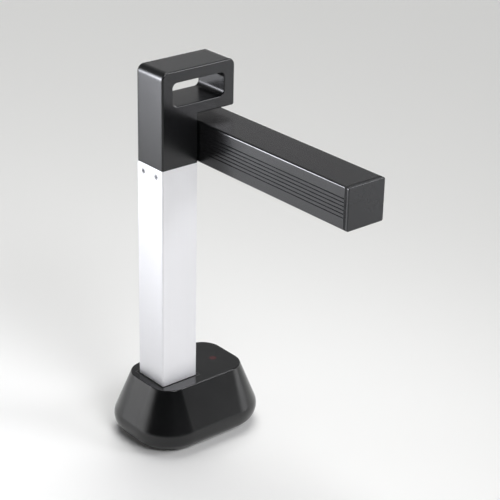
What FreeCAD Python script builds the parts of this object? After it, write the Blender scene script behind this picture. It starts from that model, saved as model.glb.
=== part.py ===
import FreeCAD, Part
import math
import os
import re
import Sketcher

# Overhead document scanner: a weighted base, an aluminium column, a head with a carrying slot,
# and a camera arm beside the head that folds down along the column.
# Millimetres. +Z is up, the arm reaches towards -Y, +X is the side that the arm lies on,
# and the origin is the centre of the base's footprint on the desk.

doc = FreeCAD.newDocument("DocumentScanner")
X_AXIS = FreeCAD.Vector(1, 0, 0)
Y_AXIS = FreeCAD.Vector(0, 1, 0)
Z_AXIS = FreeCAD.Vector(0, 0, 1)
OUTWARD = {"+x": X_AXIS, "-x": -X_AXIS, "+y": Y_AXIS, "-y": -Y_AXIS, "+z": Z_AXIS, "-z": -Z_AXIS}

# Driving dimensions
size_rows = [
    ("base_top_length", 102.2, "base, flat top, along X"),
    ("base_top_depth", 66.8, "base, flat top, along Y"),
    ("base_top_corner", 20.4, "corner radius of the base's top outline"),
    ("base_foot_corner", 48.9, "corner radius where the flared sides would meet the underside"),
    ("base_height", 61.6, "desk to the base's top"),
    ("base_flare", 22.7, "degrees from upright that the base's sides lean out"),
    ("base_roll", 15.5, "radius of the rolled lower edge"),
    ("base_edge", 1.0, "radius of the base's top edge"),
    ("base_wall", 2.5, "wall of the base shell and thickness of its bottom plate"),
    ("base_rim", 2.0, "width of the shell's flange round the bottom plate"),
    ("pad_sheet", 1.0, "thickness of the rubber pad under the base"),
    ("pad_inset", 1.0, "edge of the rubber pad inside the bottom plate's edge"),
    ("boss_inset_x", 15.2, "base screw bosses from the ends of the flat underside"),
    ("boss_inset_y", 8.5, "base screw bosses from the sides of the flat underside"),
    ("boss_width", 8.0, "diameter of a base screw boss and width of its rib"),
    ("boss_height", 16.0, "height of a base screw boss"),
    ("weight_gap", 2.0, "gap from the steel weight to the bosses and the shell's flange"),
    ("weight_height", 14.0, "steel weight, thickness"),
    ("weight_screw_spread", 40.0, "screws from the bottom plate into the weight"),
    ("column_width", 40.0, "column along X"),
    ("column_depth", 38.0, "column along Y"),
    ("column_wall", 2.0, "wall of the column"),
    ("column_edge", 1.5, "outer edge radius of the column"),
    ("column_show", 218.2, "column between the base's top and the head"),
    ("column_inset", 8.7, "column's left face from the left end of the base's top"),
    ("column_shift_y", -0.5, "column centre from the base centre"),
    ("column_slot_gap", 0.2, "gap round the column in the base's top"),
    ("plug_gap", 0.15, "gap between the column and the plugs inside it"),
    ("foot_flange_edge", 4.0, "flange screws from the flange's ends"),
    ("foot_flange_height", 4.0, "column foot, flange thickness"),
    ("foot_plug_height", 16.0, "column foot, plug above the flange"),
    ("foot_screw_gap", 4.0, "flange screws from the column's faces"),
    ("foot_screw_spread_y", 24.0, "flange screws along Y"),
    ("plug_wall", 5.0, "wall of the two plugs"),
    ("side_screw_spread", 19.0, "screws in the column's narrow faces, centre to centre"),
    ("top_screw_drop", 7.8, "upper side screws below the head"),
    ("cable_hole", 8.0, "holes that the cable passes"),
    ("cable_width", 4.4, "diameter of the internal cable"),
    ("cable_rise", 11.0, "cable's upright run from the column's left face"),
    ("cable_bend", 9.0, "inner cable's bend radius"),
    ("cable_cross_height", 8.5, "cable's crossing above the foot plug"),
    ("head_length", 81.2, "head along X"),
    ("head_lower_height", 46.5, "head's lower edge to the underside of its overhang"),
    ("overhang_height", 44.4, "overhang's underside to the head's top"),
    ("head_wall", 2.2, "wall of the head housing"),
    ("head_left_corner", 7.0, "radius of the head's upper left corner"),
    ("head_right_corner", 6.5, "radius of the head's upper right corner"),
    ("head_low_corner", 2.0, "radius of the overhang's lower corner"),
    ("head_back_edge", 2.4, "edge radius of the head's back"),
    ("back_cover", 3.4, "thickness of the head's back cover"),
    ("cover_seam", 0.3, "edge radius of the back cover where it meets the housing"),
    ("handle_side", 11.8, "carrying slot from the head's sides"),
    ("handle_ledge", 11.2, "carrying slot from the overhang's top and underside"),
    ("handle_corner", 5.0, "corner radius of the carrying slot"),
    ("handle_wall", 2.0, "wall round the carrying slot"),
    ("handle_rim", 0.9, "rounded rim of the carrying slot"),
    ("cover_post", 6.4, "diameter of the head's screw posts"),
    ("cover_post_inset", 6.2, "post centres from the head's outer faces"),
    ("frame_plug_height", 22.0, "head frame, plug inside the column"),
    ("frame_deck", 6.0, "head frame, deck thickness"),
    ("frame_gap", 0.3, "gap between the head frame and the head's shells"),
    ("upright_gap", 0.4, "gap between the frame's upright and the head's wall"),
    ("upright_thickness", 3.0, "head frame, upright that carries the hinge"),
    ("upright_side", 4.0, "upright's edges inside the column's front and back faces"),
    ("upright_rise", 18.0, "head frame, upright above the hinge axis"),
    ("shaft_width", 12.0, "diameter of the hinge shaft"),
    ("shaft_bore", 6.6, "bore of the hinge shaft"),
    ("shaft_flange", 23.0, "diameter of the hinge shaft's flange"),
    ("shaft_flange_height", 3.6, "thickness of the hinge shaft's flange"),
    ("shaft_tail", 2.0, "shaft's end beyond the nut"),
    ("shaft_gap", 0.05, "running clearance of the shaft in its bush, on radius"),
    ("shaft_clear", 0.5, "clearance round the shaft in the arm's wall, on radius"),
    ("bush_width", 16.0, "outer diameter of the hinge bush"),
    ("bush_rim", 22.0, "diameter of the bush's collar"),
    ("bush_rim_height", 1.2, "thickness of the bush's collar"),
    ("bush_gap", 0.1, "clearance round the bush in the head's wall, on radius"),
    ("washer_width", 22.0, "diameter of the friction washers"),
    ("washer_height", 1.2, "thickness of a friction washer"),
    ("disc_width", 20.0, "diameter of the disc springs"),
    ("disc_sheet", 0.7, "sheet thickness of a disc spring"),
    ("disc_rise", 0.5, "cone height of a disc spring"),
    ("nut_width", 19.0, "hinge nut across flats"),
    ("nut_height", 6.0, "thickness of the hinge nut"),
    ("stop_radius", 13.6, "stop pin from the hinge axis"),
    ("stop_width", 3.0, "diameter of the stop pin"),
    ("stop_gap", 0.4, "clearance round the stop pin, on radius"),
    ("stop_start", 60.0, "degrees above level of the stop pin when the arm is level"),
    ("fold_angle", 90.0, "degrees that the arm folds down"),
    ("arm_gap", 0.4, "gap between the head and the arm"),
    ("arm_width", 41.0, "arm along X"),
    ("arm_height", 39.2, "arm along Z when level"),
    ("arm_reach", 215.5, "hinge axis to the arm's tip"),
    ("arm_back", 18.7, "hinge axis to the arm's root end"),
    ("arm_wall", 2.4, "wall of the arm housing"),
    ("arm_edge", 1.8, "edge radius of the arm"),
    ("arm_root_corner", 7.0, "corner radius of the arm's root end"),
    ("arm_mouth_back", 12.0, "end of the arm's open underside behind the hinge axis"),
    ("arm_pad", 3.0, "extra wall where the hinge plate is screwed on"),
    ("arm_pad_front", 20.0, "front end of that extra wall, from the hinge axis"),
    ("arm_cover", 2.0, "thickness of the arm's bottom cover"),
    ("arm_cover_gap", 0.15, "gap round the arm's bottom cover"),
    ("arm_cap", 2.5, "thickness of the arm's end cap"),
    ("arm_cap_edge", 0.8, "edge radius of the end cap's face"),
    ("cap_seam", 0.4, "edge radius of the end cap where it meets the arm"),
    ("cap_lip", 1.7, "how far the end cap's lip reaches in"),
    ("cap_lip_wall", 1.4, "wall of the end cap's lip"),
    ("groove_count", 6, "grooves on each side of the arm"),
    ("groove_pitch", 3.4, "groove spacing"),
    ("groove_width", 1.0, "groove width"),
    ("groove_depth", 0.5, "groove depth"),
    ("groove_end", 8.0, "end of the grooves behind the hinge axis"),
    ("arm_post", 7.0, "diameter of the bottom cover's screw posts in the arm"),
    ("arm_post_inset", 5.8, "those posts from the arm's sides"),
    ("cover_tip_offset", 21.0, "cover screws nearest the tip, from the camera's centre line"),
    ("cover_middle_offset", 109.0, "cover screws at the middle, from the camera's centre line"),
    ("cover_row_root", 28.0, "cover screws nearest the hinge, from the hinge axis"),
    ("board_post", 4.6, "diameter of the board's screw posts in the arm"),
    ("hinge_plate", 2.5, "thickness of the arm's hinge plate"),
    ("hinge_plate_front", 19.0, "hinge plate's front end from the hinge axis"),
    ("hinge_plate_back", 10.4, "hinge plate's back end from the hinge axis"),
    ("hinge_plate_gap", 0.4, "gap from the hinge plate to the arm's roof"),
    ("hinge_plate_inset", 3.3, "hinge plate screws from the plate's edges"),
    ("arm_cable_bend", 8.0, "bend radius of the cable in the arm"),
    ("cable_low_bend", 6.0, "bend radius of the cable over the base board"),
    ("flange_screw_radius", 8.7, "shaft flange screws from the hinge axis"),
    ("lens_offset", 14.0, "camera's centre line from the end cap"),
    ("window_ring_width", 25.6, "diameter of the ring round the camera window"),
    ("window_width", 20.4, "diameter of the camera window"),
    ("window_ledge", 1.2, "ledge that the camera window rests on"),
    ("window_flange_width", 27.2, "diameter of the window ring's inner flange"),
    ("window_flange", 0.8, "thickness of the window ring's inner flange"),
    ("window_glass", 1.2, "thickness of the camera window"),
    ("window_sink", 0.2, "camera window below the ring's face"),
    ("barrel_width", 14.0, "diameter of the lens barrel"),
    ("barrel_length", 13.0, "length of the lens barrel"),
    ("barrel_front", 1.1, "gap from the bottom cover's inner face to the lens barrel"),
    ("front_glass_width", 9.0, "diameter of the lens's front glass"),
    ("front_glass_rise", 1.2, "crown of the lens's front glass"),
    ("front_glass_edge", 1.4, "thickness of the front glass at its edge"),
    ("barrel_lip", 0.9, "width of the barrel's flared front"),
    ("holder_width", 16.0, "lens holder's square foot"),
    ("holder_height", 13.2, "lens holder above the camera board"),
    ("holder_collar", 17.6, "diameter of the lens holder's collar"),
    ("camera_board_length", 26.0, "camera board along X"),
    ("camera_board_depth", 24.0, "camera board along Y"),
    ("board_sheet", 1.6, "thickness of the circuit boards"),
    ("lens_back", 8.3, "lens barrel's rear end to the camera board"),
    ("board_screw_inset", 2.4, "board screws from the boards' edges"),
    ("arm_board_length", 74.0, "main board along Y"),
    ("arm_board_gap", 1.6, "gap from the main board to the arm's walls"),
    ("arm_board_level", 6.6, "main board's lower face above the hinge axis"),
    ("processor_side", 14.0, "side of the image processor"),
    ("memory_side", 10.0, "side of the memory chip"),
    ("arm_plug_side", 6.0, "main board's cable plug along the arm"),
    ("sensor_side", 10.0, "side of the image sensor"),
    ("holder_room", 12.0, "square room round the image sensor"),
    ("holder_thread", 6.0, "depth of the lens holder's thread"),
    ("barrel_bore", 6.4, "rear bore of the lens barrel"),
    ("barrel_step", 4.5, "depth of the front glass's seat"),
    ("barrel_hood", 2.0, "depth of the barrel's flared front"),
    ("ribbon_width", 10.0, "camera ribbon across the arm"),
    ("ribbon_sheet", 0.3, "thickness of the camera ribbon"),
    ("ribbon_socket", 3.0, "ribbon socket along the arm"),
    ("ribbon_socket_height", 1.6, "height of a ribbon socket"),
    ("arm_board_offset", 66.0, "main board's centre from the camera's centre line"),
    ("light_length", 74.0, "light diffuser along Y"),
    ("light_width", 12.0, "light diffuser along X"),
    ("light_offset", 64.0, "light diffuser's centre from the camera's centre line"),
    ("light_rim", 0.8, "thickness of the light diffuser's rim"),
    ("light_ledge", 1.0, "width of the light diffuser's rim"),
    ("light_rib", 4.0, "ribs that carry the light board, along Y"),
    ("light_board_lift", 5.0, "light board above the bottom cover's inner face"),
    ("light_board_sheet", 1.2, "thickness of the light board"),
    ("light_count", 8, "light emitters on the light board"),
    ("light_chip", 3.0, "side of a light emitter"),
    ("light_chip_height", 0.8, "height of a light emitter"),
    ("light_lead_offset", 86.0, "lead of the light board from the camera's centre line"),
    ("lead_width", 1.6, "diameter of the thin leads"),
    ("base_board_length", 26.0, "base board along X"),
    ("base_board_gap", 8.4, "base board's left edge from the column's right face"),
    ("base_board_front", 19.5, "base board's front edge before the base centre"),
    ("spacer_height", 6.5, "height of the base board's spacers"),
    ("spacer_width", 5.0, "diameter of the base board's spacers"),
    ("spacer_reach", 19.0, "base board's spacers, centre to centre along X"),
    ("spacer_spread", 33.0, "base board's spacers, centre to centre along Y"),
    ("spacer_stud", 4.0, "length of a spacer's stud"),
    ("chip_side", 8.0, "side of the base board's controller"),
    ("chip_height", 1.2, "height of the boards' chips"),
    ("plug_side", 6.0, "cable plug along X and its height"),
    ("plug_span", 10.0, "cable plug across the cable"),
    ("socket_width", 9.0, "socket shell's width"),
    ("socket_height", 3.3, "socket shell's height"),
    ("socket_length", 8.0, "socket shell's length"),
    ("socket_wall", 0.35, "socket shell's sheet"),
    ("socket_mouth", 6.4, "depth of the socket's mouth"),
    ("tongue_width", 6.6, "width of the socket's tongue"),
    ("tongue_height", 0.7, "thickness of the socket's tongue"),
    ("socket_gap", 0.25, "gap round the socket in the shell"),
    ("socket_overhang", 3.0, "how far the socket stands out past its board"),
    ("port_width", 13.0, "flat recess round the socket along X"),
    ("port_height", 7.0, "flat recess round the socket along Z"),
    ("port_depth", 1.8, "depth of that recess at the socket's middle"),
    ("port_wall", 2.8, "wall behind that recess"),
    ("touch_width", 7.0, "diameter of the touch mark"),
    ("touch_sheet", 0.6, "thickness of the touch mark"),
    ("touch_gap", 0.1, "gap round the touch mark, on radius"),
    ("touch_x", 30.6, "touch mark from the base centre"),
    ("touch_y", -3.5, "touch mark from the base centre"),
    ("touch_board_length", 22.0, "touch board along X"),
    ("touch_board_depth", 16.0, "touch board along Y"),
    ("screw_shank", 2.8, "diameter of a case screw"),
    ("screw_head", 5.2, "diameter of a flat case screw's head"),
    ("screw_head_height", 1.3, "depth of a flat case screw's head"),
    ("screw_length", 8.0, "length of a case screw"),
    ("screw_cross", 3.0, "span of the cross recess"),
    ("screw_cross_width", 0.7, "width of the cross recess"),
    ("screw_cross_depth", 0.9, "depth of the cross recess"),
    ("short_screw_length", 6.0, "length of a hinge plate screw"),
    ("round_head", 5.4, "diameter of a round screw head"),
    ("round_head_height", 1.8, "height of a round screw head"),
    ("board_screw_shank", 1.8, "diameter of a board screw"),
    ("board_screw_head", 3.4, "diameter of a board screw's head"),
    ("board_screw_head_height", 1.1, "height of a board screw's head"),
    ("board_screw_length", 6.0, "length of a board screw"),
    ("thread_gap", 0.05, "gap between a screw's shank and its hole, on radius"),
]

# Places worked out from the driving dimensions
place_rows = [
    ("column_shift_x", "column_inset + column_width / 2 - base_top_length / 2"),
    ("column_left", "column_shift_x - column_width / 2"),
    ("column_right", "column_shift_x + column_width / 2"),
    ("column_front", "column_shift_y - column_depth / 2"),
    ("base_lean", "tan(base_flare)"),
    ("base_flare_out", "(base_height - pad_sheet) * base_lean"),
    ("base_roll_run", "base_roll / tan(45 - base_flare / 2)"),
    ("base_corner_rate", "(base_foot_corner - base_top_corner) / (base_height - pad_sheet)"),
    ("flat_length", "base_top_length + 2 * (base_flare_out - base_roll_run)"),
    ("flat_depth", "base_top_depth + 2 * (base_flare_out - base_roll_run)"),
    ("flat_corner", "base_foot_corner - base_roll_run"),
    ("plate_top", "pad_sheet + base_wall"),
    ("boss_x", "flat_length / 2 - boss_inset_x"),
    ("boss_y", "flat_depth / 2 - boss_inset_y"),
    ("weight_length", "flat_length - 2 * base_rim - 2 * weight_gap"),
    ("weight_depth", "2 * (boss_y - boss_width / 2 - weight_gap)"),
    ("weight_top", "plate_top + weight_height"),
    ("column_bottom", "weight_top + foot_flange_height"),
    ("head_level", "base_height + column_show"),
    ("column_length", "head_level - column_bottom"),
    ("plug_length", "column_width - 2 * column_wall - 2 * plug_gap"),
    ("plug_depth", "column_depth - 2 * column_wall - 2 * plug_gap"),
    ("foot_screw_spread_x", "column_width + 2 * foot_screw_gap"),
    ("foot_flange_length", "foot_screw_spread_x + 2 * foot_flange_edge"),
    ("head_height", "head_lower_height + overhang_height"),
    ("handle_length", "head_length - 2 * handle_side"),
    ("handle_height", "overhang_height - 2 * handle_ledge"),
    ("upright_width", "column_depth - 2 * upright_side"),
    ("handle_level", "head_lower_height + overhang_height / 2"),
    ("housing_depth", "column_depth - back_cover"),
    ("pivot_z", "head_level + arm_height / 2"),
    ("arm_left", "column_right + arm_gap"),
    ("shell_length", "arm_reach - arm_cap"),
    ("arm_half", "arm_height / 2"),
    ("arm_roof", "arm_height / 2 - arm_wall"),
    ("arm_floor", "arm_cover - arm_height / 2"),
    ("arm_middle", "arm_width / 2"),
    ("arm_board_width", "arm_width - 2 * arm_wall - 2 * arm_board_gap"),
    ("lens_place", "shell_length - lens_offset"),
    ("cover_row_tip", "lens_place - cover_tip_offset"),
    ("cover_row_middle", "lens_place - cover_middle_offset"),
    ("arm_board_place", "lens_place - arm_board_offset"),
    ("light_place", "lens_place - light_offset"),
    ("light_lead_place", "lens_place - light_lead_offset"),
    ("hinge_plate_height", "2 * (arm_roof - hinge_plate_gap)"),
    ("upright_right", "column_right - head_wall - upright_gap"),
    ("upright_left", "upright_right - upright_thickness"),
    ("bush_left", "upright_left - bush_rim_height"),
    ("washer_left", "bush_left - washer_height"),
    ("disc_left", "washer_left - 2 * (disc_sheet + disc_rise)"),
    ("outer_washer_left", "disc_left - washer_height"),
    ("nut_left", "outer_washer_left - nut_height"),
    ("shaft_left", "nut_left - shaft_tail"),
    ("hinge_plate_left", "arm_left + arm_wall + arm_pad"),
    ("shaft_flange_left", "hinge_plate_left + hinge_plate"),
    ("cable_split", "column_right + arm_gap / 2"),
    ("base_board_level", "weight_top + spacer_height"),
    ("base_board_top", "base_board_level + board_sheet"),
    ("base_board_left", "column_right + base_board_gap"),
    ("base_board_middle", "base_board_left + base_board_length / 2"),
    ("socket_middle", "base_board_top + socket_height / 2"),
    ("socket_face", "base_top_depth / 2 + (base_height - socket_middle) * base_lean - port_depth"),
    ("base_board_depth", "base_board_front + socket_face - socket_overhang"),
    ("cable_cross", "column_bottom + foot_plug_height + cable_cross_height"),
    ("light_board_level", "arm_floor + light_board_lift"),
    ("barrel_level", "arm_floor + barrel_front"),
    ("camera_board_level", "barrel_level + barrel_length + lens_back"),
    ("holder_level", "camera_board_level - holder_height"),
    ("glass_level", "barrel_level + barrel_step - front_glass_edge - front_glass_rise"),
    ("glass_radius", "((front_glass_width / 2) ^ 2 + front_glass_rise ^ 2) / (2 * front_glass_rise)"),
    ("light_reach", "light_length / 2 + light_ledge + 2 * arm_cover_gap + light_rib"),
]

sizes = doc.addObject("Spreadsheet::Sheet", "Sizes")
places = doc.addObject("Spreadsheet::Sheet", "Places")
sheet_of = {name: "Sizes" for name, number, note in size_rows}
sheet_of.update({name: "Places" for name, words in place_rows})


def rule(words):
    """A formula in plain aliases, with the sheet's name put before each alias."""
    return re.sub(r"[a-z_]+", lambda m: sheet_of[m[0]] + "." + m[0] if m[0] in sheet_of else m[0], words)


for row, (name, number, note) in enumerate(size_rows, start=1):
    sizes.set("A%d" % row, note)
    sizes.set("B%d" % row, str(number))
    sizes.setAlias("B%d" % row, name)
for row, (name, words) in enumerate(place_rows, start=1):
    places.set("B%d" % row, "=" + rule(words))
    places.setAlias("B%d" % row, name)
doc.recompute()


def value(words):
    return float(sizes.evalExpression(rule(words)))


def bind(thing, **rules):
    for prop, words in rules.items():
        thing.setExpression(prop, rule(words))


def put(thing, x="0", y="0", z="0", turn=None):
    """Sets a thing's place by rules, and its turn by a fixed rotation."""
    if turn:
        thing.Placement = FreeCAD.Placement(FreeCAD.Vector(), turn)
    for axis, words in zip("xyz", (x, y, z)):
        thing.setExpression("Placement.Base." + axis, rule(words))
    return thing


finished = []


def finish(thing, label):
    thing.Label = label
    finished.append(thing)
    return thing


# Sketches and features of a body

def new_body(label, x="0", y="0", z="0"):
    body = doc.addObject("PartDesign::Body", "Body")
    put(body, x, y, z)
    return finish(body, label)


def new_sketch(body, role, lift="0"):
    """A sketch on one of the body's own origin planes, moved along the plane's normal by lift."""
    sketch = body.newObject("Sketcher::SketchObject", "Sketch")
    plane = next(f for f in body.Origin.OriginFeatures if f.Role == role)
    sketch.AttachmentSupport = [(plane, "")]
    sketch.MapMode = "FlatFace"
    sketch.setExpression("AttachmentOffset.Base.z", rule(lift))
    return sketch


def fix(sketch, name, kind, geometry, point, words):
    """Ties one coordinate of a point to a rule."""
    if abs(value(words)) < 1e-9:
        axis = -2 if kind == "DistanceX" else -1
        sketch.addConstraint(Sketcher.Constraint("PointOnObject", geometry, point, axis))
        return
    constraint = Sketcher.Constraint(kind, -1, 1, geometry, point, value(words))
    number = sketch.addConstraint(constraint)
    sketch.renameConstraint(number, name)
    sketch.setExpression("Constraints." + name, rule(words))


def fix_size(sketch, name, kind, geometry, words):
    number = sketch.addConstraint(Sketcher.Constraint(kind, geometry, value(words)))
    sketch.renameConstraint(number, name)
    sketch.setExpression("Constraints." + name, rule(words))


def outline(sketch, tag, corners):
    """A closed outline of level and upright edges. Each corner is (x, y) or (x, y, radius)."""
    count = len(corners)
    points = [FreeCAD.Vector(value(c[0]), value(c[1]), 0) for c in corners]
    radii = [value(c[2]) if len(c) > 2 else 0.0 for c in corners]
    lines = []
    for i in range(count):
        j = (i + 1) % count
        run = (points[j] - points[i]).normalize()
        start = points[i] + run * radii[i]
        end = points[j] - run * radii[j]
        lines.append(sketch.addGeometry(Part.LineSegment(start, end)))
        level = abs(run.x) > abs(run.y)
        sketch.addConstraint(Sketcher.Constraint("Horizontal" if level else "Vertical", lines[i]))
        if level:
            fix(sketch, "%s_level_%d" % (tag, i), "DistanceY", lines[i], 1, corners[i][1])
        else:
            fix(sketch, "%s_side_%d" % (tag, i), "DistanceX", lines[i], 1, corners[i][0])
    for i in range(count):
        before = lines[i - 1]
        after = lines[i]
        if not radii[i]:
            sketch.addConstraint(Sketcher.Constraint("Coincident", before, 2, after, 1))
            continue
        come = (points[i] - points[i - 1]).normalize()
        leave = (points[(i + 1) % count] - points[i]).normalize()
        start = points[i] - come * radii[i]
        end = points[i] + leave * radii[i]
        centre = start + leave * radii[i]
        middle = centre + (points[i] - centre).normalize() * radii[i]
        arc = sketch.addGeometry(Part.Arc(start, middle, end))
        turns_left = come.x * leave.y - come.y * leave.x > 0
        first, last = (1, 2) if turns_left else (2, 1)
        sketch.addConstraint(Sketcher.Constraint("Tangent", before, 2, arc, first))
        sketch.addConstraint(Sketcher.Constraint("Tangent", arc, last, after, 1))
        fix_size(sketch, "%s_corner_%d" % (tag, i), "Radius", arc, corners[i][2])


def block(sketch, tag, left, low, right, high, corner=None):
    """A rectangle between four rules, with one corner radius."""
    ends = [(left, low), (right, low), (right, high), (left, high)]
    outline(sketch, tag, [end + ((corner,) if corner else ()) for end in ends])


def centred(sketch, tag, length, height, corner=None, x="0", y="0"):
    block(sketch, tag, "%s - (%s) / 2" % (x, length), "%s - (%s) / 2" % (y, height),
          "%s + (%s) / 2" % (x, length), "%s + (%s) / 2" % (y, height), corner)


def polygon(sketch, tag, points):
    """A closed outline of straight edges in any direction."""
    lines = []
    for i, (x, y) in enumerate(points):
        nx, ny = points[(i + 1) % len(points)]
        start = FreeCAD.Vector(value(x), value(y), 0)
        end = FreeCAD.Vector(value(nx), value(ny), 0)
        lines.append(sketch.addGeometry(Part.LineSegment(start, end)))
        fix(sketch, "%s_x_%d" % (tag, i), "DistanceX", lines[i], 1, x)
        fix(sketch, "%s_y_%d" % (tag, i), "DistanceY", lines[i], 1, y)
    for i, line in enumerate(lines):
        sketch.addConstraint(Sketcher.Constraint("Coincident", line, 2, lines[(i + 1) % len(lines)], 1))


def circle(sketch, tag, x, y, width):
    shape = Part.Circle(FreeCAD.Vector(value(x), value(y), 0), Z_AXIS, value(width) / 2)
    number = sketch.addGeometry(shape)
    fix(sketch, tag + "_x", "DistanceX", number, 3, x)
    fix(sketch, tag + "_y", "DistanceY", number, 3, y)
    fix_size(sketch, tag + "_width", "Diameter", number, width)


def arc_slot(sketch, across, height, radius, width, start, sweep):
    """A curved slot round the point (across, height), from start degrees through sweep degrees."""
    low = math.radians(value(start))
    high = low + math.radians(value(sweep))
    centre = FreeCAD.Vector(value(across), value(height), 0)
    half = value(width) / 2
    rims = []
    for side, words in ((1, "%s + %s / 2"), (-1, "%s - %s / 2")):
        ring = Part.Circle(centre, Z_AXIS, value(radius) + side * half)
        rims.append(sketch.addGeometry(Part.ArcOfCircle(ring, low, high)))
        name = "rim_%d" % (1 + side)
        fix_size(sketch, name, "Radius", rims[-1], words % (radius, width))
    fix(sketch, "centre_x", "DistanceX", rims[0], 3, across)
    fix(sketch, "centre_y", "DistanceY", rims[0], 3, height)
    sketch.addConstraint(Sketcher.Constraint("Coincident", rims[0], 3, rims[1], 3))
    for name, angle, words, point in (("low", low, start, 1), ("high", high, "%s + %s" % (start, sweep), 2)):
        place = centre + FreeCAD.Vector(math.cos(angle), math.sin(angle), 0) * value(radius)
        first = angle - math.pi if point == 1 else angle
        cap = sketch.addGeometry(Part.ArcOfCircle(Part.Circle(place, Z_AXIS, half), first, first + math.pi))
        outer, inner = (2, 1) if point == 1 else (1, 2)
        sketch.addConstraint(Sketcher.Constraint("Tangent", cap, outer, rims[0], point))
        sketch.addConstraint(Sketcher.Constraint("Tangent", cap, inner, rims[1], point))
        fix(sketch, name + "_end", "DistanceX", cap, 3, "%s + %s * cos(%s)" % (across, radius, words))


def pad(body, profile, length, back=False):
    feature = body.newObject("PartDesign::Pad", "Pad")
    feature.Profile = profile
    feature.Reversed = back
    bind(feature, Length=length)
    return feature


def cut(body, profile, length=None, back=False):
    """A pocket. It has to take something away, or the build stops."""
    doc.recompute()
    before = body.Shape.Volume
    feature = body.newObject("PartDesign::Pocket", "Pocket")
    feature.Profile = profile
    feature.Reversed = back
    if length:
        bind(feature, Length=length)
    else:
        feature.Type = "ThroughAll"
    doc.recompute()
    if not body.Shape.Volume < before - 1e-6:
        raise ValueError("a pocket in %s cuts nothing" % body.Label)
    return feature


def round_edges(body, radius, chosen):
    doc.recompute()
    base = body.Tip
    names = ["Edge%d" % (i + 1) for i, edge in enumerate(base.Shape.Edges) if chosen(edge.BoundBox)]
    if not names:
        raise ValueError("no edge to round in %s" % body.Label)
    feature = body.newObject("PartDesign::Fillet", "Fillet")
    feature.Base = (base, names)
    bind(feature, Radius=radius)
    doc.recompute()
    return feature


def near(a, b):
    return abs(a - b) < 0.02


def flat_at(axis, words):
    """Tells whether an edge's box lies in the plane where axis has the rule's value."""
    place = value(words)
    return lambda box: near(getattr(box, axis + "Min"), place) and near(getattr(box, axis + "Max"), place)


def flat_holes(body, role, lift, spots, sink="screw_length"):
    """Screw holes for flat heads, sunk from the plane that the sketch lies on."""
    doc.recompute()
    before = body.Shape.Volume
    sketch = new_sketch(body, role, lift)
    for i, (x, y) in enumerate(spots):
        circle(sketch, "hole_%d" % i, x, y, "screw_shank + 2 * thread_gap")
    doc.recompute()
    hole = body.newObject("PartDesign::Hole", "Hole")
    hole.Profile = sketch
    hole.DepthType = "Dimension"
    hole.DrillPoint = "Flat"
    hole.HoleCutType = "Countersink"
    hole.HoleCutCustomValues = True
    hole.Reversed = True
    bind(hole, Diameter="screw_shank + 2 * thread_gap", Depth=sink,
         HoleCutDiameter="screw_head + 2 * thread_gap",
         HoleCutCountersinkAngle="2 * atan((screw_head - screw_shank) / 2 / screw_head_height)")
    doc.recompute()
    if not body.Shape.Volume < before - 1e-6:
        raise ValueError("holes in %s cut nothing" % body.Label)
    return hole


def revolve(body, sketch, axis="H_Axis"):
    feature = body.newObject("PartDesign::Revolution", "Revolution")
    feature.Profile = sketch
    feature.ReferenceAxis = (sketch, [axis])
    feature.Angle = 360
    return feature


# Plain solids

def cylinder(width, height, x="0", y="0", z="0", along="+z"):
    thing = doc.addObject("Part::Cylinder", "Cylinder")
    bind(thing, Radius="(%s) / 2" % width, Height=height)
    return put(thing, x, y, z, FreeCAD.Rotation(Z_AXIS, OUTWARD[along]))


def cuboid(left, front, low, length, depth, height):
    thing = doc.addObject("Part::Box", "Box")
    bind(thing, Length=length, Width=depth, Height=height)
    return put(thing, left, front, low)


def fused(*things):
    thing = doc.addObject("Part::MultiFuse", "Fusion")
    thing.Shapes = list(things)
    return thing


def taken(base, *tools):
    thing = doc.addObject("Part::Cut", "Cut")
    thing.Base = base
    thing.Tool = tools[0] if len(tools) == 1 else fused(*tools)
    return thing


def group(label, things):
    thing = doc.addObject("Part::Compound", "Group")
    thing.Links = list(things)
    return finish(thing, label)


def screw(x, y, z, facing, kind="flat"):
    """A screw whose head's outer face is at the place, with the shank going in from there."""
    if kind == "board":
        shank = cylinder("board_screw_shank", "board_screw_length", along="-z")
        head = cylinder("board_screw_head", "board_screw_head_height")
    elif kind in ("round", "short"):
        shank = cylinder("screw_shank", "screw_length" if kind == "round" else "short_screw_length",
                         along="-z")
        head = cylinder("round_head", "round_head_height")
    else:
        shank = cylinder("screw_shank", "screw_length", along="-z")
        head = doc.addObject("Part::Cone", "Cone")
        bind(head, Radius1="screw_shank / 2", Radius2="screw_head / 2", Height="screw_head_height")
        put(head, z="-screw_head_height")
    whole = fused(shank, head)
    if kind == "flat":
        slots = []
        for length, width in (("screw_cross", "screw_cross_width"), ("screw_cross_width", "screw_cross")):
            slots.append(cuboid("-(%s) / 2" % length, "-(%s) / 2" % width, "-screw_cross_depth",
                                length, width, "2 * screw_cross_depth"))
        whole = taken(whole, *slots)
    return put(whole, x, y, z, FreeCAD.Rotation(Z_AXIS, OUTWARD[facing]))


def both(words):
    """The two places at plus and minus half of a spread."""
    return ("%s / 2" % words, "-%s / 2" % words)


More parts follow.
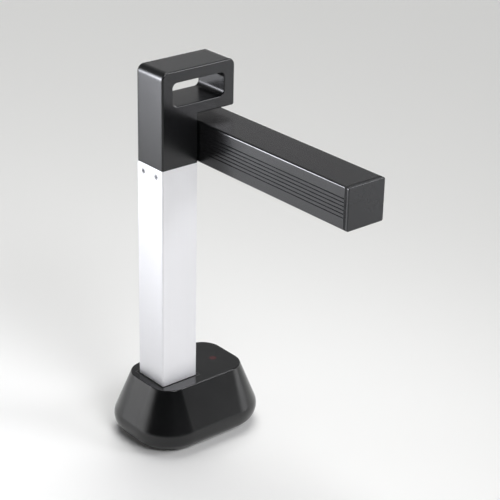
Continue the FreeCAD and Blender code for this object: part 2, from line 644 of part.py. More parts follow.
def wire_tube(label, points, bends, width):
    """A round cable along straight runs joined by tangent arcs."""
    spots = [FreeCAD.Vector(*(value(c) for c in point)) for point in points]
    edges = []
    start = spots[0]
    length = 0.0
    for i in range(1, len(spots) - 1):
        come = (spots[i] - spots[i - 1]).normalize()
        leave = (spots[i + 1] - spots[i]).normalize()
        radius = value(bends[i - 1])
        first = spots[i] - come * radius
        last = spots[i] + leave * radius
        centre = first + leave * radius
        middle = centre + (spots[i] - centre).normalize() * radius
        edges.append(Part.LineSegment(start, first).toShape())
        edges.append(Part.Arc(first, middle, last).toShape())
        length += (first - start).Length + radius * math.pi / 2
        start = last
    edges.append(Part.LineSegment(start, spots[-1]).toShape())
    length += (spots[-1] - start).Length
    path = Part.Wire(edges)
    radius = value(width) / 2
    ring = Part.Wire(Part.Circle(spots[0], spots[1] - spots[0], radius).toShape())
    tube = path.makePipeShell([ring], True, False)
    share = tube.Volume / (math.pi * radius ** 2 * length)
    if not near(share, 1.0):
        raise ValueError("%s has %.3f of its volume" % (label, share))
    thing = doc.addObject("Part::Feature", "Cable")
    thing.Shape = tube
    return finish(thing, label)


# Base

def flared_solid(body, inset):
    """The base's flared form between rounded rectangles, drawn in by inset all round."""
    high = "base_height - " + inset
    low = "pad_sheet + " + inset
    drop = "(base_height - (%s))"
    draw_in = "%s / cos(base_flare)" % inset
    rings = []
    for level in (high, low):
        grow = "2 * (%s * base_lean - %s)" % (drop % level, draw_in)
        corner = "base_top_corner + %s * base_corner_rate - %s" % (drop % level, draw_in)
        sketch = new_sketch(body, "XY_Plane", level)
        centred(sketch, "ring", "base_top_length + " + grow, "base_top_depth + " + grow, corner)
        rings.append(sketch)
    doc.recompute()
    loft = body.newObject("PartDesign::AdditiveLoft", "Flare")
    loft.Profile = rings[0]
    loft.Sections = [rings[1]]
    loft.Ruled = True
    round_edges(body, "base_roll - " + inset, flat_at("Z", low))


def base_shell():
    outer = doc.addObject("PartDesign::Body", "BaseOuter")
    flared_solid(outer, "0")
    round_edges(outer, "base_edge", flat_at("Z", "base_height"))
    inner = doc.addObject("PartDesign::Body", "BaseInner")
    flared_solid(inner, "base_wall")
    mouth = doc.addObject("PartDesign::Body", "BaseMouth")
    sketch = new_sketch(mouth, "XY_Plane")
    rim = " - 2 * base_rim"
    centred(sketch, "mouth", "flat_length" + rim, "flat_depth" + rim, "flat_corner - base_rim")
    pad(mouth, sketch, "plate_top + base_wall")
    slot = doc.addObject("PartDesign::Body", "ColumnSlot")
    sketch = new_sketch(slot, "XY_Plane", "base_height - 2 * base_wall")
    centred(sketch, "slot", "column_width + 2 * column_slot_gap", "column_depth + 2 * column_slot_gap",
            "column_edge + column_slot_gap", "column_shift_x", "column_shift_y")
    pad(slot, sketch, "3 * base_wall")
    bosses = []
    pilots = []
    for x, y, rib_front in ((x, y, front) for x in ("boss_x", "-boss_x")
                            for y, front in (("boss_y", "boss_y"), ("-boss_y", "-boss_y - base_top_depth"))):
        bosses.append(cylinder("boss_width", "boss_height", x, y, "plate_top"))
        bosses.append(cuboid(x + " - boss_width / 2", rib_front, "plate_top", "boss_width",
                             "base_top_depth", "boss_height"))
        pilots.append(cylinder("screw_shank + 2 * thread_gap", "screw_length", x, y, "plate_top"))
    port = cuboid("base_board_middle - port_width / 2 - port_wall", "socket_face - port_wall",
                  "socket_middle - port_height / 2 - port_wall", "port_width + 2 * port_wall",
                  "4 * port_wall", "port_height + 2 * port_wall")
    inside = doc.addObject("Part::MultiCommon", "InnerForms")
    inside.Shapes = [fused(*bosses, port), outer]
    recess = cuboid("base_board_middle - port_width / 2", "socket_face", "socket_middle - port_height / 2",
                    "port_width", "base_top_depth", "port_height")
    passage = cuboid("base_board_middle - socket_width / 2 - socket_gap", "socket_face - 2 * port_wall",
                     "socket_middle - socket_height / 2 - socket_gap", "socket_width + 2 * socket_gap",
                     "3 * port_wall", "socket_height + 2 * socket_gap")
    touch = cylinder("touch_width + 2 * touch_gap", "2 * touch_sheet", "touch_x", "touch_y",
                     "base_height - touch_sheet")
    walls = fused(taken(outer, inner, mouth, slot), inside)
    return finish(taken(walls, *pilots, recess, passage, touch), "base_shell")


def base_plate():
    body = new_body("base_plate", z="pad_sheet")
    sketch = new_sketch(body, "XY_Plane")
    trim = " - 2 * base_rim - 2 * plug_gap"
    centred(sketch, "plate", "flat_length" + trim, "flat_depth" + trim, "flat_corner - base_rim - plug_gap")
    pad(body, sketch, "base_wall")
    spots = [(x, y) for x in ("boss_x", "-boss_x") for y in ("boss_y", "-boss_y")]
    spots += [(x, "0") for x in both("weight_screw_spread")]
    flat_holes(body, "XY_Plane", "0", spots)
    group("base_screws", [screw(x, y, "pad_sheet", "-z") for x, y in spots])
    body = new_body("rubber_pad")
    sketch = new_sketch(body, "XY_Plane")
    trim += " - 2 * pad_inset"
    centred(sketch, "pad", "flat_length" + trim, "flat_depth" + trim,
            "flat_corner - base_rim - plug_gap - pad_inset")
    pad(body, sketch, "pad_sheet")


def base_weight():
    body = new_body("base_weight", z="plate_top")
    sketch = new_sketch(body, "XY_Plane")
    centred(sketch, "block", "weight_length", "weight_depth", "base_wall")
    pad(body, sketch, "weight_height")
    hole = "screw_shank + 2 * thread_gap"
    sketch = new_sketch(body, "XY_Plane")
    for i, x in enumerate(both("weight_screw_spread")):
        circle(sketch, "low_%d" % i, x, "0", hole)
    cut(body, sketch, "screw_length - base_wall + thread_gap", back=True)
    sketch = new_sketch(body, "XY_Plane", "weight_height")
    for i, x in enumerate(both("foot_screw_spread_x")):
        for j, y in enumerate(both("foot_screw_spread_y")):
            circle(sketch, "high_%d%d" % (i, j), "column_shift_x + " + x, "column_shift_y + " + y, hole)
    for i, x in enumerate(both("spacer_reach")):
        for j, y in enumerate(both("spacer_spread")):
            circle(sketch, "post_%d%d" % (i, j), "base_board_middle + " + x, y,
                   "board_screw_shank + 2 * thread_gap")
    cut(body, sketch, "screw_length", back=False)


def column_foot():
    body = new_body("column_foot", "column_shift_x", "column_shift_y", "weight_top")
    sketch = new_sketch(body, "XY_Plane")
    centred(sketch, "flange", "foot_flange_length", "column_depth", "base_wall")
    pad(body, sketch, "foot_flange_height")
    sketch = new_sketch(body, "XY_Plane")
    centred(sketch, "plug", "plug_length", "plug_depth", "column_edge")
    pad(body, sketch, "foot_flange_height + foot_plug_height")
    sketch = new_sketch(body, "XY_Plane")
    centred(sketch, "hollow", "plug_length - 2 * plug_wall", "plug_depth - 2 * plug_wall", "column_edge")
    cut(body, sketch, back=True)
    sketch = new_sketch(body, "XY_Plane")
    spots = [(x, y) for x in both("foot_screw_spread_x") for y in both("foot_screw_spread_y")]
    for i, (x, y) in enumerate(spots):
        circle(sketch, "hole_%d" % i, x, y, "screw_shank + 2 * thread_gap")
    cut(body, sketch, back=True)
    sketch = new_sketch(body, "YZ_Plane", "-column_width / 2")
    for i, y in enumerate(both("side_screw_spread")):
        circle(sketch, "side_%d" % i, y, "foot_flange_height + foot_plug_height / 2",
               "screw_shank + 2 * thread_gap")
    cut(body, sketch, back=True)
    group("foot_screws", [screw("column_shift_x + " + x, "column_shift_y + " + y, "column_bottom",
                                "+z", "round") for x, y in spots])
    sides = []
    for x, facing in (("column_left", "-x"), ("column_right", "+x")):
        for y in both("side_screw_spread"):
            sides.append(screw(x, "column_shift_y + " + y, "column_bottom + foot_plug_height / 2",
                               facing, "round"))
    group("column_foot_screws", sides)


def column_tube():
    body = new_body("column_tube", "column_shift_x", "column_shift_y", "column_bottom")
    sketch = new_sketch(body, "XY_Plane")
    centred(sketch, "outer", "column_width", "column_depth", "column_edge")
    centred(sketch, "inner", "column_width - 2 * column_wall", "column_depth - 2 * column_wall", "column_edge")
    pad(body, sketch, "column_length")
    hole = "screw_shank + 2 * thread_gap"
    sketch = new_sketch(body, "YZ_Plane", "-column_width / 2")
    for i, y in enumerate(both("side_screw_spread")):
        circle(sketch, "side_%d" % i, y, "foot_plug_height / 2", hole)
    cut(body, sketch, back=True)
    sketch = new_sketch(body, "YZ_Plane")
    circle(sketch, "cable", "0", "foot_plug_height + cable_cross_height", "cable_hole")
    cut(body, sketch, back=True)
    spots = [(y, "column_length - top_screw_drop") for y in both("side_screw_spread")]
    flat_holes(body, "YZ_Plane", "-column_width / 2", spots, "2 * column_wall")
    group("column_top_screws", [screw("column_left", "column_shift_y + " + y,
                                      "head_level - top_screw_drop", "-x")
                                for y in both("side_screw_spread")])


def base_board():
    body = new_body("base_board", "base_board_middle", "0", "base_board_level")
    sketch = new_sketch(body, "XY_Plane")
    block(sketch, "board", "-base_board_length / 2", "-base_board_front", "base_board_length / 2",
          "base_board_depth - base_board_front", "base_edge")
    pad(body, sketch, "board_sheet")
    sketch = new_sketch(body, "XY_Plane")
    spots = [(x, y) for x in both("spacer_reach") for y in both("spacer_spread")]
    for i, (x, y) in enumerate(spots):
        circle(sketch, "hole_%d" % i, x, y, "board_screw_shank + 2 * thread_gap")
    cut(body, sketch, back=True)
    spacers = []
    for x, y in spots:
        post = cylinder("spacer_width", "spacer_height", "base_board_middle + " + x, y, "weight_top")
        stud = cylinder("board_screw_shank", "spacer_stud", "base_board_middle + " + x, y, "weight_top", "-z")
        bore = cylinder("board_screw_shank + 2 * thread_gap", "board_screw_length - board_sheet",
                        "base_board_middle + " + x, y, "base_board_level", "-z")
        spacers.append(taken(fused(post, stud), bore))
    group("board_spacers", spacers)
    group("base_board_screws", [screw("base_board_middle + " + x, y, "base_board_top", "+z", "board")
                                for x, y in spots])


def sockets_and_chips():
    body = new_body("usb_socket", "base_board_middle", "socket_face", "socket_middle")
    sketch = new_sketch(body, "XZ_Plane")
    centred(sketch, "shell", "socket_width", "socket_height", "socket_height / 2 - socket_wall / 2")
    pad(body, sketch, "socket_length")
    sketch = new_sketch(body, "XZ_Plane")
    trim = " - 2 * socket_wall"
    centred(sketch, "mouth", "socket_width" + trim, "socket_height" + trim,
            "socket_height / 2 - 2 * socket_wall")
    centred(sketch, "tongue", "tongue_width", "tongue_height")
    cut(body, sketch, "socket_mouth", back=True)
    chip = cuboid("base_board_middle - chip_side / 2", "column_shift_y - plug_span - chip_side / 2",
                  "base_board_top", "chip_side", "chip_side", "chip_height")
    plug = cuboid("base_board_left + board_screw_inset", "column_shift_y - plug_span / 2",
                  "base_board_top", "plug_side", "plug_span", "plug_side")
    group("base_board_chips", [chip, plug])


def touch_parts():
    mark = cylinder("touch_width", "touch_sheet", "touch_x", "touch_y", "base_height - touch_sheet")
    finish(mark, "touch_mark")
    board = cuboid("touch_x - touch_board_length / 2", "touch_y - touch_board_depth / 2",
                   "base_height - base_wall - light_board_sheet", "touch_board_length",
                   "touch_board_depth", "light_board_sheet")
    finish(board, "touch_board")
    lead = cylinder("lead_width", "base_height - base_wall - light_board_sheet - base_board_top",
                    "base_board_middle + base_board_length / 4", "touch_y", "base_board_top")
    finish(lead, "touch_lead")


# Head

def head_outline(sketch, inset, low, low_corner):
    """The head's front outline, an L upside down, drawn in by inset. low is its lower end."""
    outline(sketch, "head", [
        (inset, low), ("column_width - " + inset, low),
        ("column_width - " + inset, "head_lower_height + " + inset),
        ("head_length - " + inset, "head_lower_height + " + inset, low_corner),
        ("head_length - " + inset, "head_height - " + inset, "head_right_corner - " + inset),
        (inset, "head_height - " + inset, "head_left_corner - " + inset)])


def handle_outline(sketch, tag, grow):
    centred(sketch, tag, "handle_length + 2 * " + grow, "handle_height + 2 * " + grow,
            "handle_corner + " + grow, "head_length / 2", "handle_level")


post_spots = [
    ("cover_post_inset", "head_height - cover_post_inset"),
    ("head_length - cover_post_inset", "head_height - cover_post_inset"),
    ("head_length - cover_post_inset", "head_lower_height + cover_post_inset"),
    ("cover_post_inset", "head_lower_height + cover_post_inset"),
]
deck_spots = [("column_width / 2 - cover_post_inset", "frame_deck / 2"),
              ("column_width / 2 + cover_post_inset", "frame_deck / 2")]


def hinge_openings(body, x, across, depth, gap):
    """The round hole for the bush and the curved slot for the stop pin, cut from the arm's side."""
    sketch = new_sketch(body, "YZ_Plane", x)
    circle(sketch, "bush", across, "arm_half", "bush_width + 2 * " + gap)
    cut(body, sketch, depth)
    sketch = new_sketch(body, "YZ_Plane", x)
    arc_slot(sketch, across, "arm_half", "stop_radius", "(stop_width + 2 * stop_gap)", "stop_start",
             "fold_angle")
    cut(body, sketch, depth)


def round_handle(body, y):
    """Rounds the carrying slot's rim on the face at y."""
    in_face = flat_at("Y", y)
    left = value("(head_length - handle_length) / 2 - handle_rim")
    right = value("(head_length + handle_length) / 2 + handle_rim")
    low = value("handle_level - handle_height / 2 - handle_rim")
    high = value("handle_level + handle_height / 2 + handle_rim")
    round_edges(body, "handle_rim", lambda box: in_face(box) and box.XMin > left and box.XMax < right
                and box.ZMin > low and box.ZMax < high)


def head_frame():
    body = new_body("head_frame", "column_shift_x", "column_shift_y", "head_level")
    sketch = new_sketch(body, "XY_Plane", "-frame_plug_height")
    centred(sketch, "plug", "plug_length", "plug_depth", "column_edge")
    pad(body, sketch, "frame_plug_height")
    sketch = new_sketch(body, "XY_Plane")
    side = "column_width / 2 - head_wall - frame_gap"
    block(sketch, "deck", "-(%s)" % side, "head_wall + frame_gap - column_depth / 2", side,
          "column_depth / 2 - back_cover - frame_gap", "base_edge")
    pad(body, sketch, "frame_deck")
    sketch = new_sketch(body, "XY_Plane")
    right = "upright_right - column_shift_x"
    block(sketch, "upright", right + " - upright_thickness", "-upright_width / 2", right,
          "upright_width / 2")
    pad(body, sketch, "arm_half + upright_rise")
    sketch = new_sketch(body, "XY_Plane", "-frame_plug_height")
    centred(sketch, "hollow", "plug_length - 2 * plug_wall", "plug_depth - 2 * plug_wall", "column_edge")
    cut(body, sketch, "frame_plug_height", back=True)
    sketch = new_sketch(body, "XY_Plane")
    circle(sketch, "cable", "cable_rise - column_width / 2", "0", "cable_hole")
    cut(body, sketch, back=True)
    hinge_openings(body, right, "0", "upright_thickness", "0")
    hole = "screw_shank + 2 * thread_gap"
    sketch = new_sketch(body, "YZ_Plane", "-column_width / 2")
    for i, y in enumerate(both("side_screw_spread")):
        circle(sketch, "side_%d" % i, y, "-top_screw_drop", hole)
    cut(body, sketch, "screw_length + column_wall", back=True)
    sketch = new_sketch(body, "XZ_Plane", "-column_depth / 2")
    for i, (x, z) in enumerate(deck_spots):
        circle(sketch, "deck_%d" % i, x + " - column_width / 2", z, hole)
    cut(body, sketch, "screw_length + back_cover", back=True)


def head_housing():
    body = new_body("head_housing", "column_left", "column_front", "head_level")
    sketch = new_sketch(body, "XZ_Plane")
    head_outline(sketch, "0", "0", "head_low_corner")
    pad(body, sketch, "housing_depth", back=True)
    at_front = flat_at("Y", "0")
    at_foot = flat_at("Z", "0")
    round_edges(body, "column_edge", lambda box: at_front(box) and not at_foot(box))
    sketch = new_sketch(body, "XZ_Plane", "-housing_depth")
    head_outline(sketch, "head_wall", "-head_wall", "head_low_corner / 2")
    handle_outline(sketch, "sleeve", "handle_wall")
    cut(body, sketch, "housing_depth - head_wall", back=True)
    sketch = new_sketch(body, "XZ_Plane", "-housing_depth")
    handle_outline(sketch, "handle", "0")
    cut(body, sketch, back=True)
    sketch = new_sketch(body, "XZ_Plane", "-housing_depth")
    for i, (x, z) in enumerate(post_spots):
        circle(sketch, "post_%d" % i, x, z, "cover_post")
    pad(body, sketch, "housing_depth - head_wall / 2")
    sketch = new_sketch(body, "XZ_Plane", "-housing_depth")
    for i, (x, z) in enumerate(post_spots):
        circle(sketch, "pilot_%d" % i, x, z, "screw_shank + 2 * thread_gap")
    cut(body, sketch, "screw_length", back=True)
    hinge_openings(body, "column_width", "column_depth / 2", "2 * head_wall", "bush_gap")
    round_handle(body, "0")


def head_back_cover():
    body = new_body("head_back_cover", "column_left", "column_front + housing_depth", "head_level")
    sketch = new_sketch(body, "XZ_Plane")
    head_outline(sketch, "0", "0", "head_low_corner")
    pad(body, sketch, "back_cover", back=True)
    at_back = flat_at("Y", "back_cover")
    at_seam = flat_at("Y", "0")
    at_foot = flat_at("Z", "0")
    round_edges(body, "head_back_edge", lambda box: at_back(box) and not at_foot(box))
    round_edges(body, "cover_seam", lambda box: at_seam(box) and not at_foot(box))
    sketch = new_sketch(body, "XZ_Plane")
    handle_outline(sketch, "handle", "0")
    cut(body, sketch)
    round_handle(body, "back_cover")
    spots = post_spots + deck_spots
    flat_holes(body, "XZ_Plane", "-back_cover", spots, "2 * back_cover")
    group("head_cover_screws", [screw("column_left + " + x, "column_front + column_depth",
                                      "head_level + " + z, "+y") for x, z in spots])


# Hinge

def ring_along_x(outer, inner, left, length):
    tube = cylinder(outer, length, left, "column_shift_y", "pivot_z", "+x")
    bore = cylinder(inner, length, left, "column_shift_y", "pivot_z", "+x")
    return taken(tube, bore)


def hinge_parts():
    sleeve = cylinder("bush_width", "column_right - upright_left", "upright_left", "column_shift_y",
                      "pivot_z", "+x")
    collar = cylinder("bush_rim", "bush_rim_height", "bush_left", "column_shift_y", "pivot_z", "+x")
    bore = cylinder("shaft_width + 2 * shaft_gap", "column_right - bush_left", "bush_left",
                    "column_shift_y", "pivot_z", "+x")
    finish(taken(fused(sleeve, collar), bore), "hinge_bush")
    hole = "shaft_width + 2 * thread_gap"
    group("friction_washers", [ring_along_x("washer_width", hole, "washer_left", "washer_height"),
                               ring_along_x("washer_width", hole, "outer_washer_left", "washer_height")])
    body = new_body("disc_springs", "disc_left", "column_shift_y", "pivot_z")
    for i, (near_edge, far_edge) in enumerate((("disc_rise", "0"), ("disc_sheet + disc_rise",
                                                                    "disc_sheet + 2 * disc_rise"))):
        sketch = new_sketch(body, "XY_Plane")
        bore_side = "shaft_width / 2 + thread_gap"
        polygon(sketch, "disc_%d" % i, [(near_edge, bore_side), (far_edge, "disc_width / 2"),
                                        (far_edge + " + disc_sheet", "disc_width / 2"),
                                        (near_edge + " + disc_sheet", bore_side)])
        revolve(body, sketch)
    nut = doc.addObject("Part::Prism", "Prism")
    nut.Polygon = 6
    bind(nut, Circumradius="nut_width / 2 / cos(30)", Height="nut_height")
    put(nut, "nut_left", "column_shift_y", "pivot_z", FreeCAD.Rotation(Z_AXIS, X_AXIS))
    thread = cylinder(hole, "nut_height", "nut_left", "column_shift_y", "pivot_z", "+x")
    finish(taken(nut, thread), "hinge_nut")
    stem = cylinder("shaft_width", "shaft_flange_left - shaft_left", "shaft_left", "column_shift_y",
                    "pivot_z", "+x")
    flange = cylinder("shaft_flange", "shaft_flange_height", "shaft_flange_left", "column_shift_y",
                      "pivot_z", "+x")
    bore = cylinder("shaft_bore", "shaft_flange_left + shaft_flange_height - shaft_left", "shaft_left",
                    "column_shift_y", "pivot_z", "+x")
    holes = []
    screws = []
    for turn in flange_turns:
        y = "column_shift_y + flange_screw_radius * cos(%d)" % turn
        z = "pivot_z + flange_screw_radius * sin(%d)" % turn
        holes.append(cylinder("board_screw_shank + 2 * thread_gap", "shaft_flange_height",
                              "shaft_flange_left", y, z, "+x"))
        screws.append(screw("shaft_flange_left + shaft_flange_height", y, z, "+x", "board"))
    finish(taken(fused(stem, flange), bore, *holes), "hinge_shaft")
    group("hinge_flange_screws", screws)
    pin = cylinder("stop_width", "hinge_plate_left + hinge_plate - upright_left - upright_gap",
                   "upright_left + upright_gap", "column_shift_y + stop_radius * cos(stop_start)",
                   "pivot_z + stop_radius * sin(stop_start)", "+x")
    finish(pin, "stop_pin")


plate_screw_spots = [
    ("hinge_plate_inset - hinge_plate_front", "hinge_plate_height / 2 - hinge_plate_inset"),
    ("hinge_plate_inset - hinge_plate_front", "hinge_plate_inset - hinge_plate_height / 2"),
    ("hinge_plate_back - hinge_plate_inset", "hinge_plate_inset - hinge_plate_height / 2"),
]


def arm_hinge_plate():
    body = new_body("arm_hinge_plate", "hinge_plate_left", "column_shift_y", "pivot_z")
    sketch = new_sketch(body, "YZ_Plane")
    block(sketch, "plate", "-hinge_plate_front", "-hinge_plate_height / 2", "hinge_plate_back",
          "hinge_plate_height / 2", "base_edge")
    pad(body, sketch, "hinge_plate")
    sketch = new_sketch(body, "YZ_Plane")
    circle(sketch, "shaft", "0", "0", "shaft_width + 2 * thread_gap")
    circle(sketch, "stop", "stop_radius * cos(stop_start)", "stop_radius * sin(stop_start)",
           "stop_width + 2 * thread_gap")
    for i, turn in enumerate(flange_turns):
        circle(sketch, "flange_%d" % i, "flange_screw_radius * cos(%d)" % turn,
               "flange_screw_radius * sin(%d)" % turn, "board_screw_shank + 2 * thread_gap")
    for i, (y, z) in enumerate(plate_screw_spots):
        circle(sketch, "wall_%d" % i, y, z, "screw_shank + 2 * thread_gap")
    cut(body, sketch, back=True)
    group("hinge_plate_screws", [screw("shaft_flange_left", "column_shift_y + " + y, "pivot_z + " + z,
                                       "+x", "short") for y, z in plate_screw_spots])


# Arm

def arm_body(label):
    return new_body(label, "arm_left", "column_shift_y", "pivot_z")


def at_arm(words):
    return "column_shift_y - (%s)" % words


cover_rows = ("cover_row_tip", "cover_row_middle", "cover_row_root")
cover_spots = [(x, "-" + y) for y in cover_rows for x in ("arm_post_inset", "arm_width - arm_post_inset")]
camera_spots = [("arm_middle + %s * (camera_board_length / 2 - board_screw_inset)" % i,
                 "-lens_place + %s * (camera_board_depth / 2 - board_screw_inset)" % j)
                for i in ("-1", "1") for j in ("-1", "1")]
board_spots = [("arm_middle + %s * (arm_board_width / 2 - board_screw_inset)" % i,
                "-arm_board_place + %s * (arm_board_length / 2 - board_screw_inset)" % j)
               for i in ("-1", "1") for j in ("-1", "1")]
light_ends = [("arm_middle", "-light_place + %s * (light_reach - light_rib / 2)" % i) for i in ("-1", "1")]
flange_turns = (90, 210, 330)


def posts(body, spots, level, width, pilot, depth):
    """Screw posts that hang from the arm's roof down to a level, each with a pilot hole."""
    sketch = new_sketch(body, "XY_Plane", level)
    for i, (x, y) in enumerate(spots):
        circle(sketch, "post_%d" % i, x, y, width)
    pad(body, sketch, "arm_roof + arm_wall / 2 - (%s)" % level)
    sketch = new_sketch(body, "XY_Plane", level)
    for i, (x, y) in enumerate(spots):
        circle(sketch, "pilot_%d" % i, x, y, pilot)
    cut(body, sketch, depth, back=True)


def arm_housing():
    body = arm_body("arm_housing")
    sketch = new_sketch(body, "YZ_Plane")
    outline(sketch, "side", [("-shell_length", "-arm_half"), ("arm_back", "-arm_half", "arm_root_corner"),
                             ("arm_back", "arm_half", "arm_root_corner"), ("-shell_length", "arm_half")])
    pad(body, sketch, "arm_width")
    inner_side = flat_at("X", "0")
    outer_side = flat_at("X", "arm_width")
    tip = flat_at("Y", "-shell_length")
    round_edges(body, "arm_edge", lambda box: (inner_side(box) or outer_side(box)) and not tip(box))
    sketch = new_sketch(body, "XZ_Plane", "-groove_end")
    first = "-groove_pitch * (groove_count - 1) / 2"
    for tag, start, sign in (("inner", "0", "+"), ("outer", "arm_width", "-")):
        outside = "%s %s -groove_depth" % (start, sign)
        polygon(sketch, tag, [(outside, first + " - groove_width"),
                              ("%s %s groove_depth" % (start, sign), first),
                              (outside, first + " + groove_width")])
    groove = cut(body, sketch, back=True)
    rows = body.newObject("PartDesign::LinearPattern", "Grooves")
    rows.Originals = [groove]
    rows.Direction = (sketch, ["V_Axis"])
    bind(rows, Length="groove_pitch * (groove_count - 1)", Occurrences="groove_count")
    body.Tip = rows
    sketch = new_sketch(body, "XY_Plane", "-arm_half")
    far = "arm_width - arm_wall"
    near_side = "arm_wall + arm_pad"
    outline(sketch, "room", [("arm_wall", "-shell_length - arm_wall"), (far, "-shell_length - arm_wall"),
                             (far, "arm_mouth_back"), (near_side, "arm_mouth_back"),
                             (near_side, "-arm_pad_front"), ("arm_wall", "-arm_pad_front")])
    cut(body, sketch, "arm_height - arm_wall", back=True)
    sketch = new_sketch(body, "YZ_Plane")
    circle(sketch, "shaft", "0", "0", "shaft_width + 2 * shaft_clear")
    circle(sketch, "stop", "stop_radius * cos(stop_start)", "stop_radius * sin(stop_start)",
           "stop_width + 2 * thread_gap")
    cut(body, sketch, near_side, back=True)
    sketch = new_sketch(body, "YZ_Plane", near_side)
    for i, (y, z) in enumerate(plate_screw_spots):
        circle(sketch, "wall_%d" % i, y, z, "screw_shank + 2 * thread_gap")
    cut(body, sketch, "short_screw_length - hinge_plate + thread_gap")
    case_pilot = "screw_shank + 2 * thread_gap"
    board_pilot = "board_screw_shank + 2 * thread_gap"
    posts(body, cover_spots, "arm_floor", "arm_post", case_pilot, "screw_length - arm_cover + thread_gap")
    depth = "board_screw_length - board_sheet + thread_gap"
    posts(body, camera_spots, "camera_board_level + board_sheet", "board_post", board_pilot, depth)
    posts(body, board_spots, "arm_board_level + board_sheet", "board_post", board_pilot, depth)


def arm_bottom_cover():
    body = arm_body("arm_bottom_cover")
    sketch = new_sketch(body, "XY_Plane", "-arm_half")
    far = "arm_width - arm_wall - arm_cover_gap"
    near_side = "arm_wall + arm_pad + arm_cover_gap"
    back = "arm_mouth_back - arm_cover_gap"
    step = "-arm_pad_front - arm_cover_gap"
    outline(sketch, "plate", [("arm_wall + arm_cover_gap", "arm_cover_gap - shell_length"),
                              (far, "arm_cover_gap - shell_length"), (far, back), (near_side, back),
                              (near_side, step), ("arm_wall + arm_cover_gap", step)])
    pad(body, sketch, "arm_cover")
    sketch = new_sketch(body, "XY_Plane", "arm_floor - arm_cover / 2")
    for i, (x, y) in enumerate(light_ends):
        centred(sketch, "rib_%d" % i, "light_width", "light_rib", None, x, y)
    pad(body, sketch, "light_board_lift + arm_cover / 2")
    sketch = new_sketch(body, "XY_Plane", "-arm_half")
    circle(sketch, "window", "arm_middle", "-lens_place", "window_ring_width + 2 * arm_cover_gap")
    centred(sketch, "light", "light_width + 2 * arm_cover_gap", "light_length + 2 * arm_cover_gap",
            "light_ledge", "arm_middle", "-light_place")
    cut(body, sketch, back=True)
    sketch = new_sketch(body, "XY_Plane", "light_board_level")
    for i, (x, y) in enumerate(light_ends):
        circle(sketch, "pilot_%d" % i, x, y, "board_screw_shank + 2 * thread_gap")
    cut(body, sketch, "board_screw_length - light_board_sheet + thread_gap")
    flat_holes(body, "XY_Plane", "-arm_half", cover_spots, "2 * arm_cover")
    group("arm_cover_screws", [screw("arm_left + " + x, "column_shift_y + " + y, "pivot_z - arm_half", "-z")
                               for x, y in cover_spots])


def arm_end_cap():
    body = arm_body("arm_end_cap")
    sketch = new_sketch(body, "XZ_Plane", "shell_length")
    block(sketch, "face", "0", "-arm_half", "arm_width", "arm_half", "arm_edge")
    pad(body, sketch, "arm_cap")
    round_edges(body, "arm_cap_edge", flat_at("Y", "-arm_reach"))
    round_edges(body, "cap_seam", flat_at("Y", "-shell_length"))
    sketch = new_sketch(body, "XZ_Plane", "shell_length")
    left = "arm_wall + arm_cover_gap"
    right = "arm_width - arm_wall - arm_cover_gap"
    foot = "arm_floor + arm_cover_gap"
    roof = "arm_roof - arm_cover_gap"
    outline(sketch, "lip", [(left, foot), (left + " + cap_lip_wall", foot),
                            (left + " + cap_lip_wall", roof + " - cap_lip_wall"),
                            (right + " - cap_lip_wall", roof + " - cap_lip_wall"),
                            (right + " - cap_lip_wall", foot), (right, foot), (right, roof), (left, roof)])
    pad(body, sketch, "cap_lip", back=True)


def arm_cuboid(x, y, level, length, depth, height):
    """A block in the arm, centred on x and on y along the arm, standing on level."""
    return cuboid("arm_left + %s - %s / 2" % (x, length), "column_shift_y + %s - %s / 2" % (y, depth),
                  "pivot_z + " + level, length, depth, height)


def arm_disc(width, height, level):
    """A cylinder on the camera's centre line, standing on level."""
    return cylinder(width, height, "arm_left + arm_middle", at_arm("lens_place"), "pivot_z + " + level)


def board(label, spots, x, y, level, length, depth, sheet):
    body = arm_body(label)
    sketch = new_sketch(body, "XY_Plane", level)
    centred(sketch, "board", length, depth, "base_edge", x, y)
    pad(body, sketch, sheet)
    sketch = new_sketch(body, "XY_Plane", level)
    for i, (hole_x, hole_y) in enumerate(spots):
        circle(sketch, "hole_%d" % i, hole_x, hole_y, "board_screw_shank + 2 * thread_gap")
    cut(body, sketch, back=True)


def camera_parts():
    board("camera_board", camera_spots, "arm_middle", "-lens_place", "camera_board_level",
          "camera_board_length", "camera_board_depth", "board_sheet")
    finish(arm_cuboid("arm_middle", "-lens_place", "camera_board_level - chip_height", "sensor_side",
                      "sensor_side", "chip_height"), "image_sensor")
    collar = arm_disc("holder_collar", "holder_thread", "holder_level")
    foot = arm_cuboid("arm_middle", "-lens_place", "holder_level + holder_thread - board_sheet",
                      "holder_width", "holder_width", "holder_height - holder_thread + board_sheet")
    thread = arm_disc("barrel_width + 2 * thread_gap", "holder_thread", "holder_level")
    room = arm_cuboid("arm_middle", "-lens_place", "holder_level + holder_thread", "holder_room",
                      "holder_room", "holder_height - holder_thread")
    finish(taken(fused(collar, foot), thread, room), "lens_holder")
    body = new_body("lens_barrel", "arm_left + arm_middle", at_arm("lens_place"), "pivot_z + barrel_level")
    sketch = new_sketch(body, "XZ_Plane")
    seat = "front_glass_width / 2 + thread_gap"
    polygon(sketch, "wall", [(seat + " + barrel_lip", "0"), ("barrel_width / 2", "0"),
                             ("barrel_width / 2", "barrel_length"), ("barrel_bore / 2", "barrel_length"),
                             ("barrel_bore / 2", "barrel_step"), (seat, "barrel_step"),
                             (seat, "barrel_hood")])
    revolve(body, sketch, "V_Axis")
    rod = arm_disc("front_glass_width", "front_glass_rise + front_glass_edge", "glass_level")
    ball = doc.addObject("Part::Sphere", "Ball")
    bind(ball, Radius="glass_radius")
    put(ball, "arm_left + arm_middle", at_arm("lens_place"), "pivot_z + glass_level + glass_radius")
    crown = doc.addObject("Part::MultiCommon", "Crown")
    crown.Shapes = [rod, ball]
    finish(crown, "lens_glass")


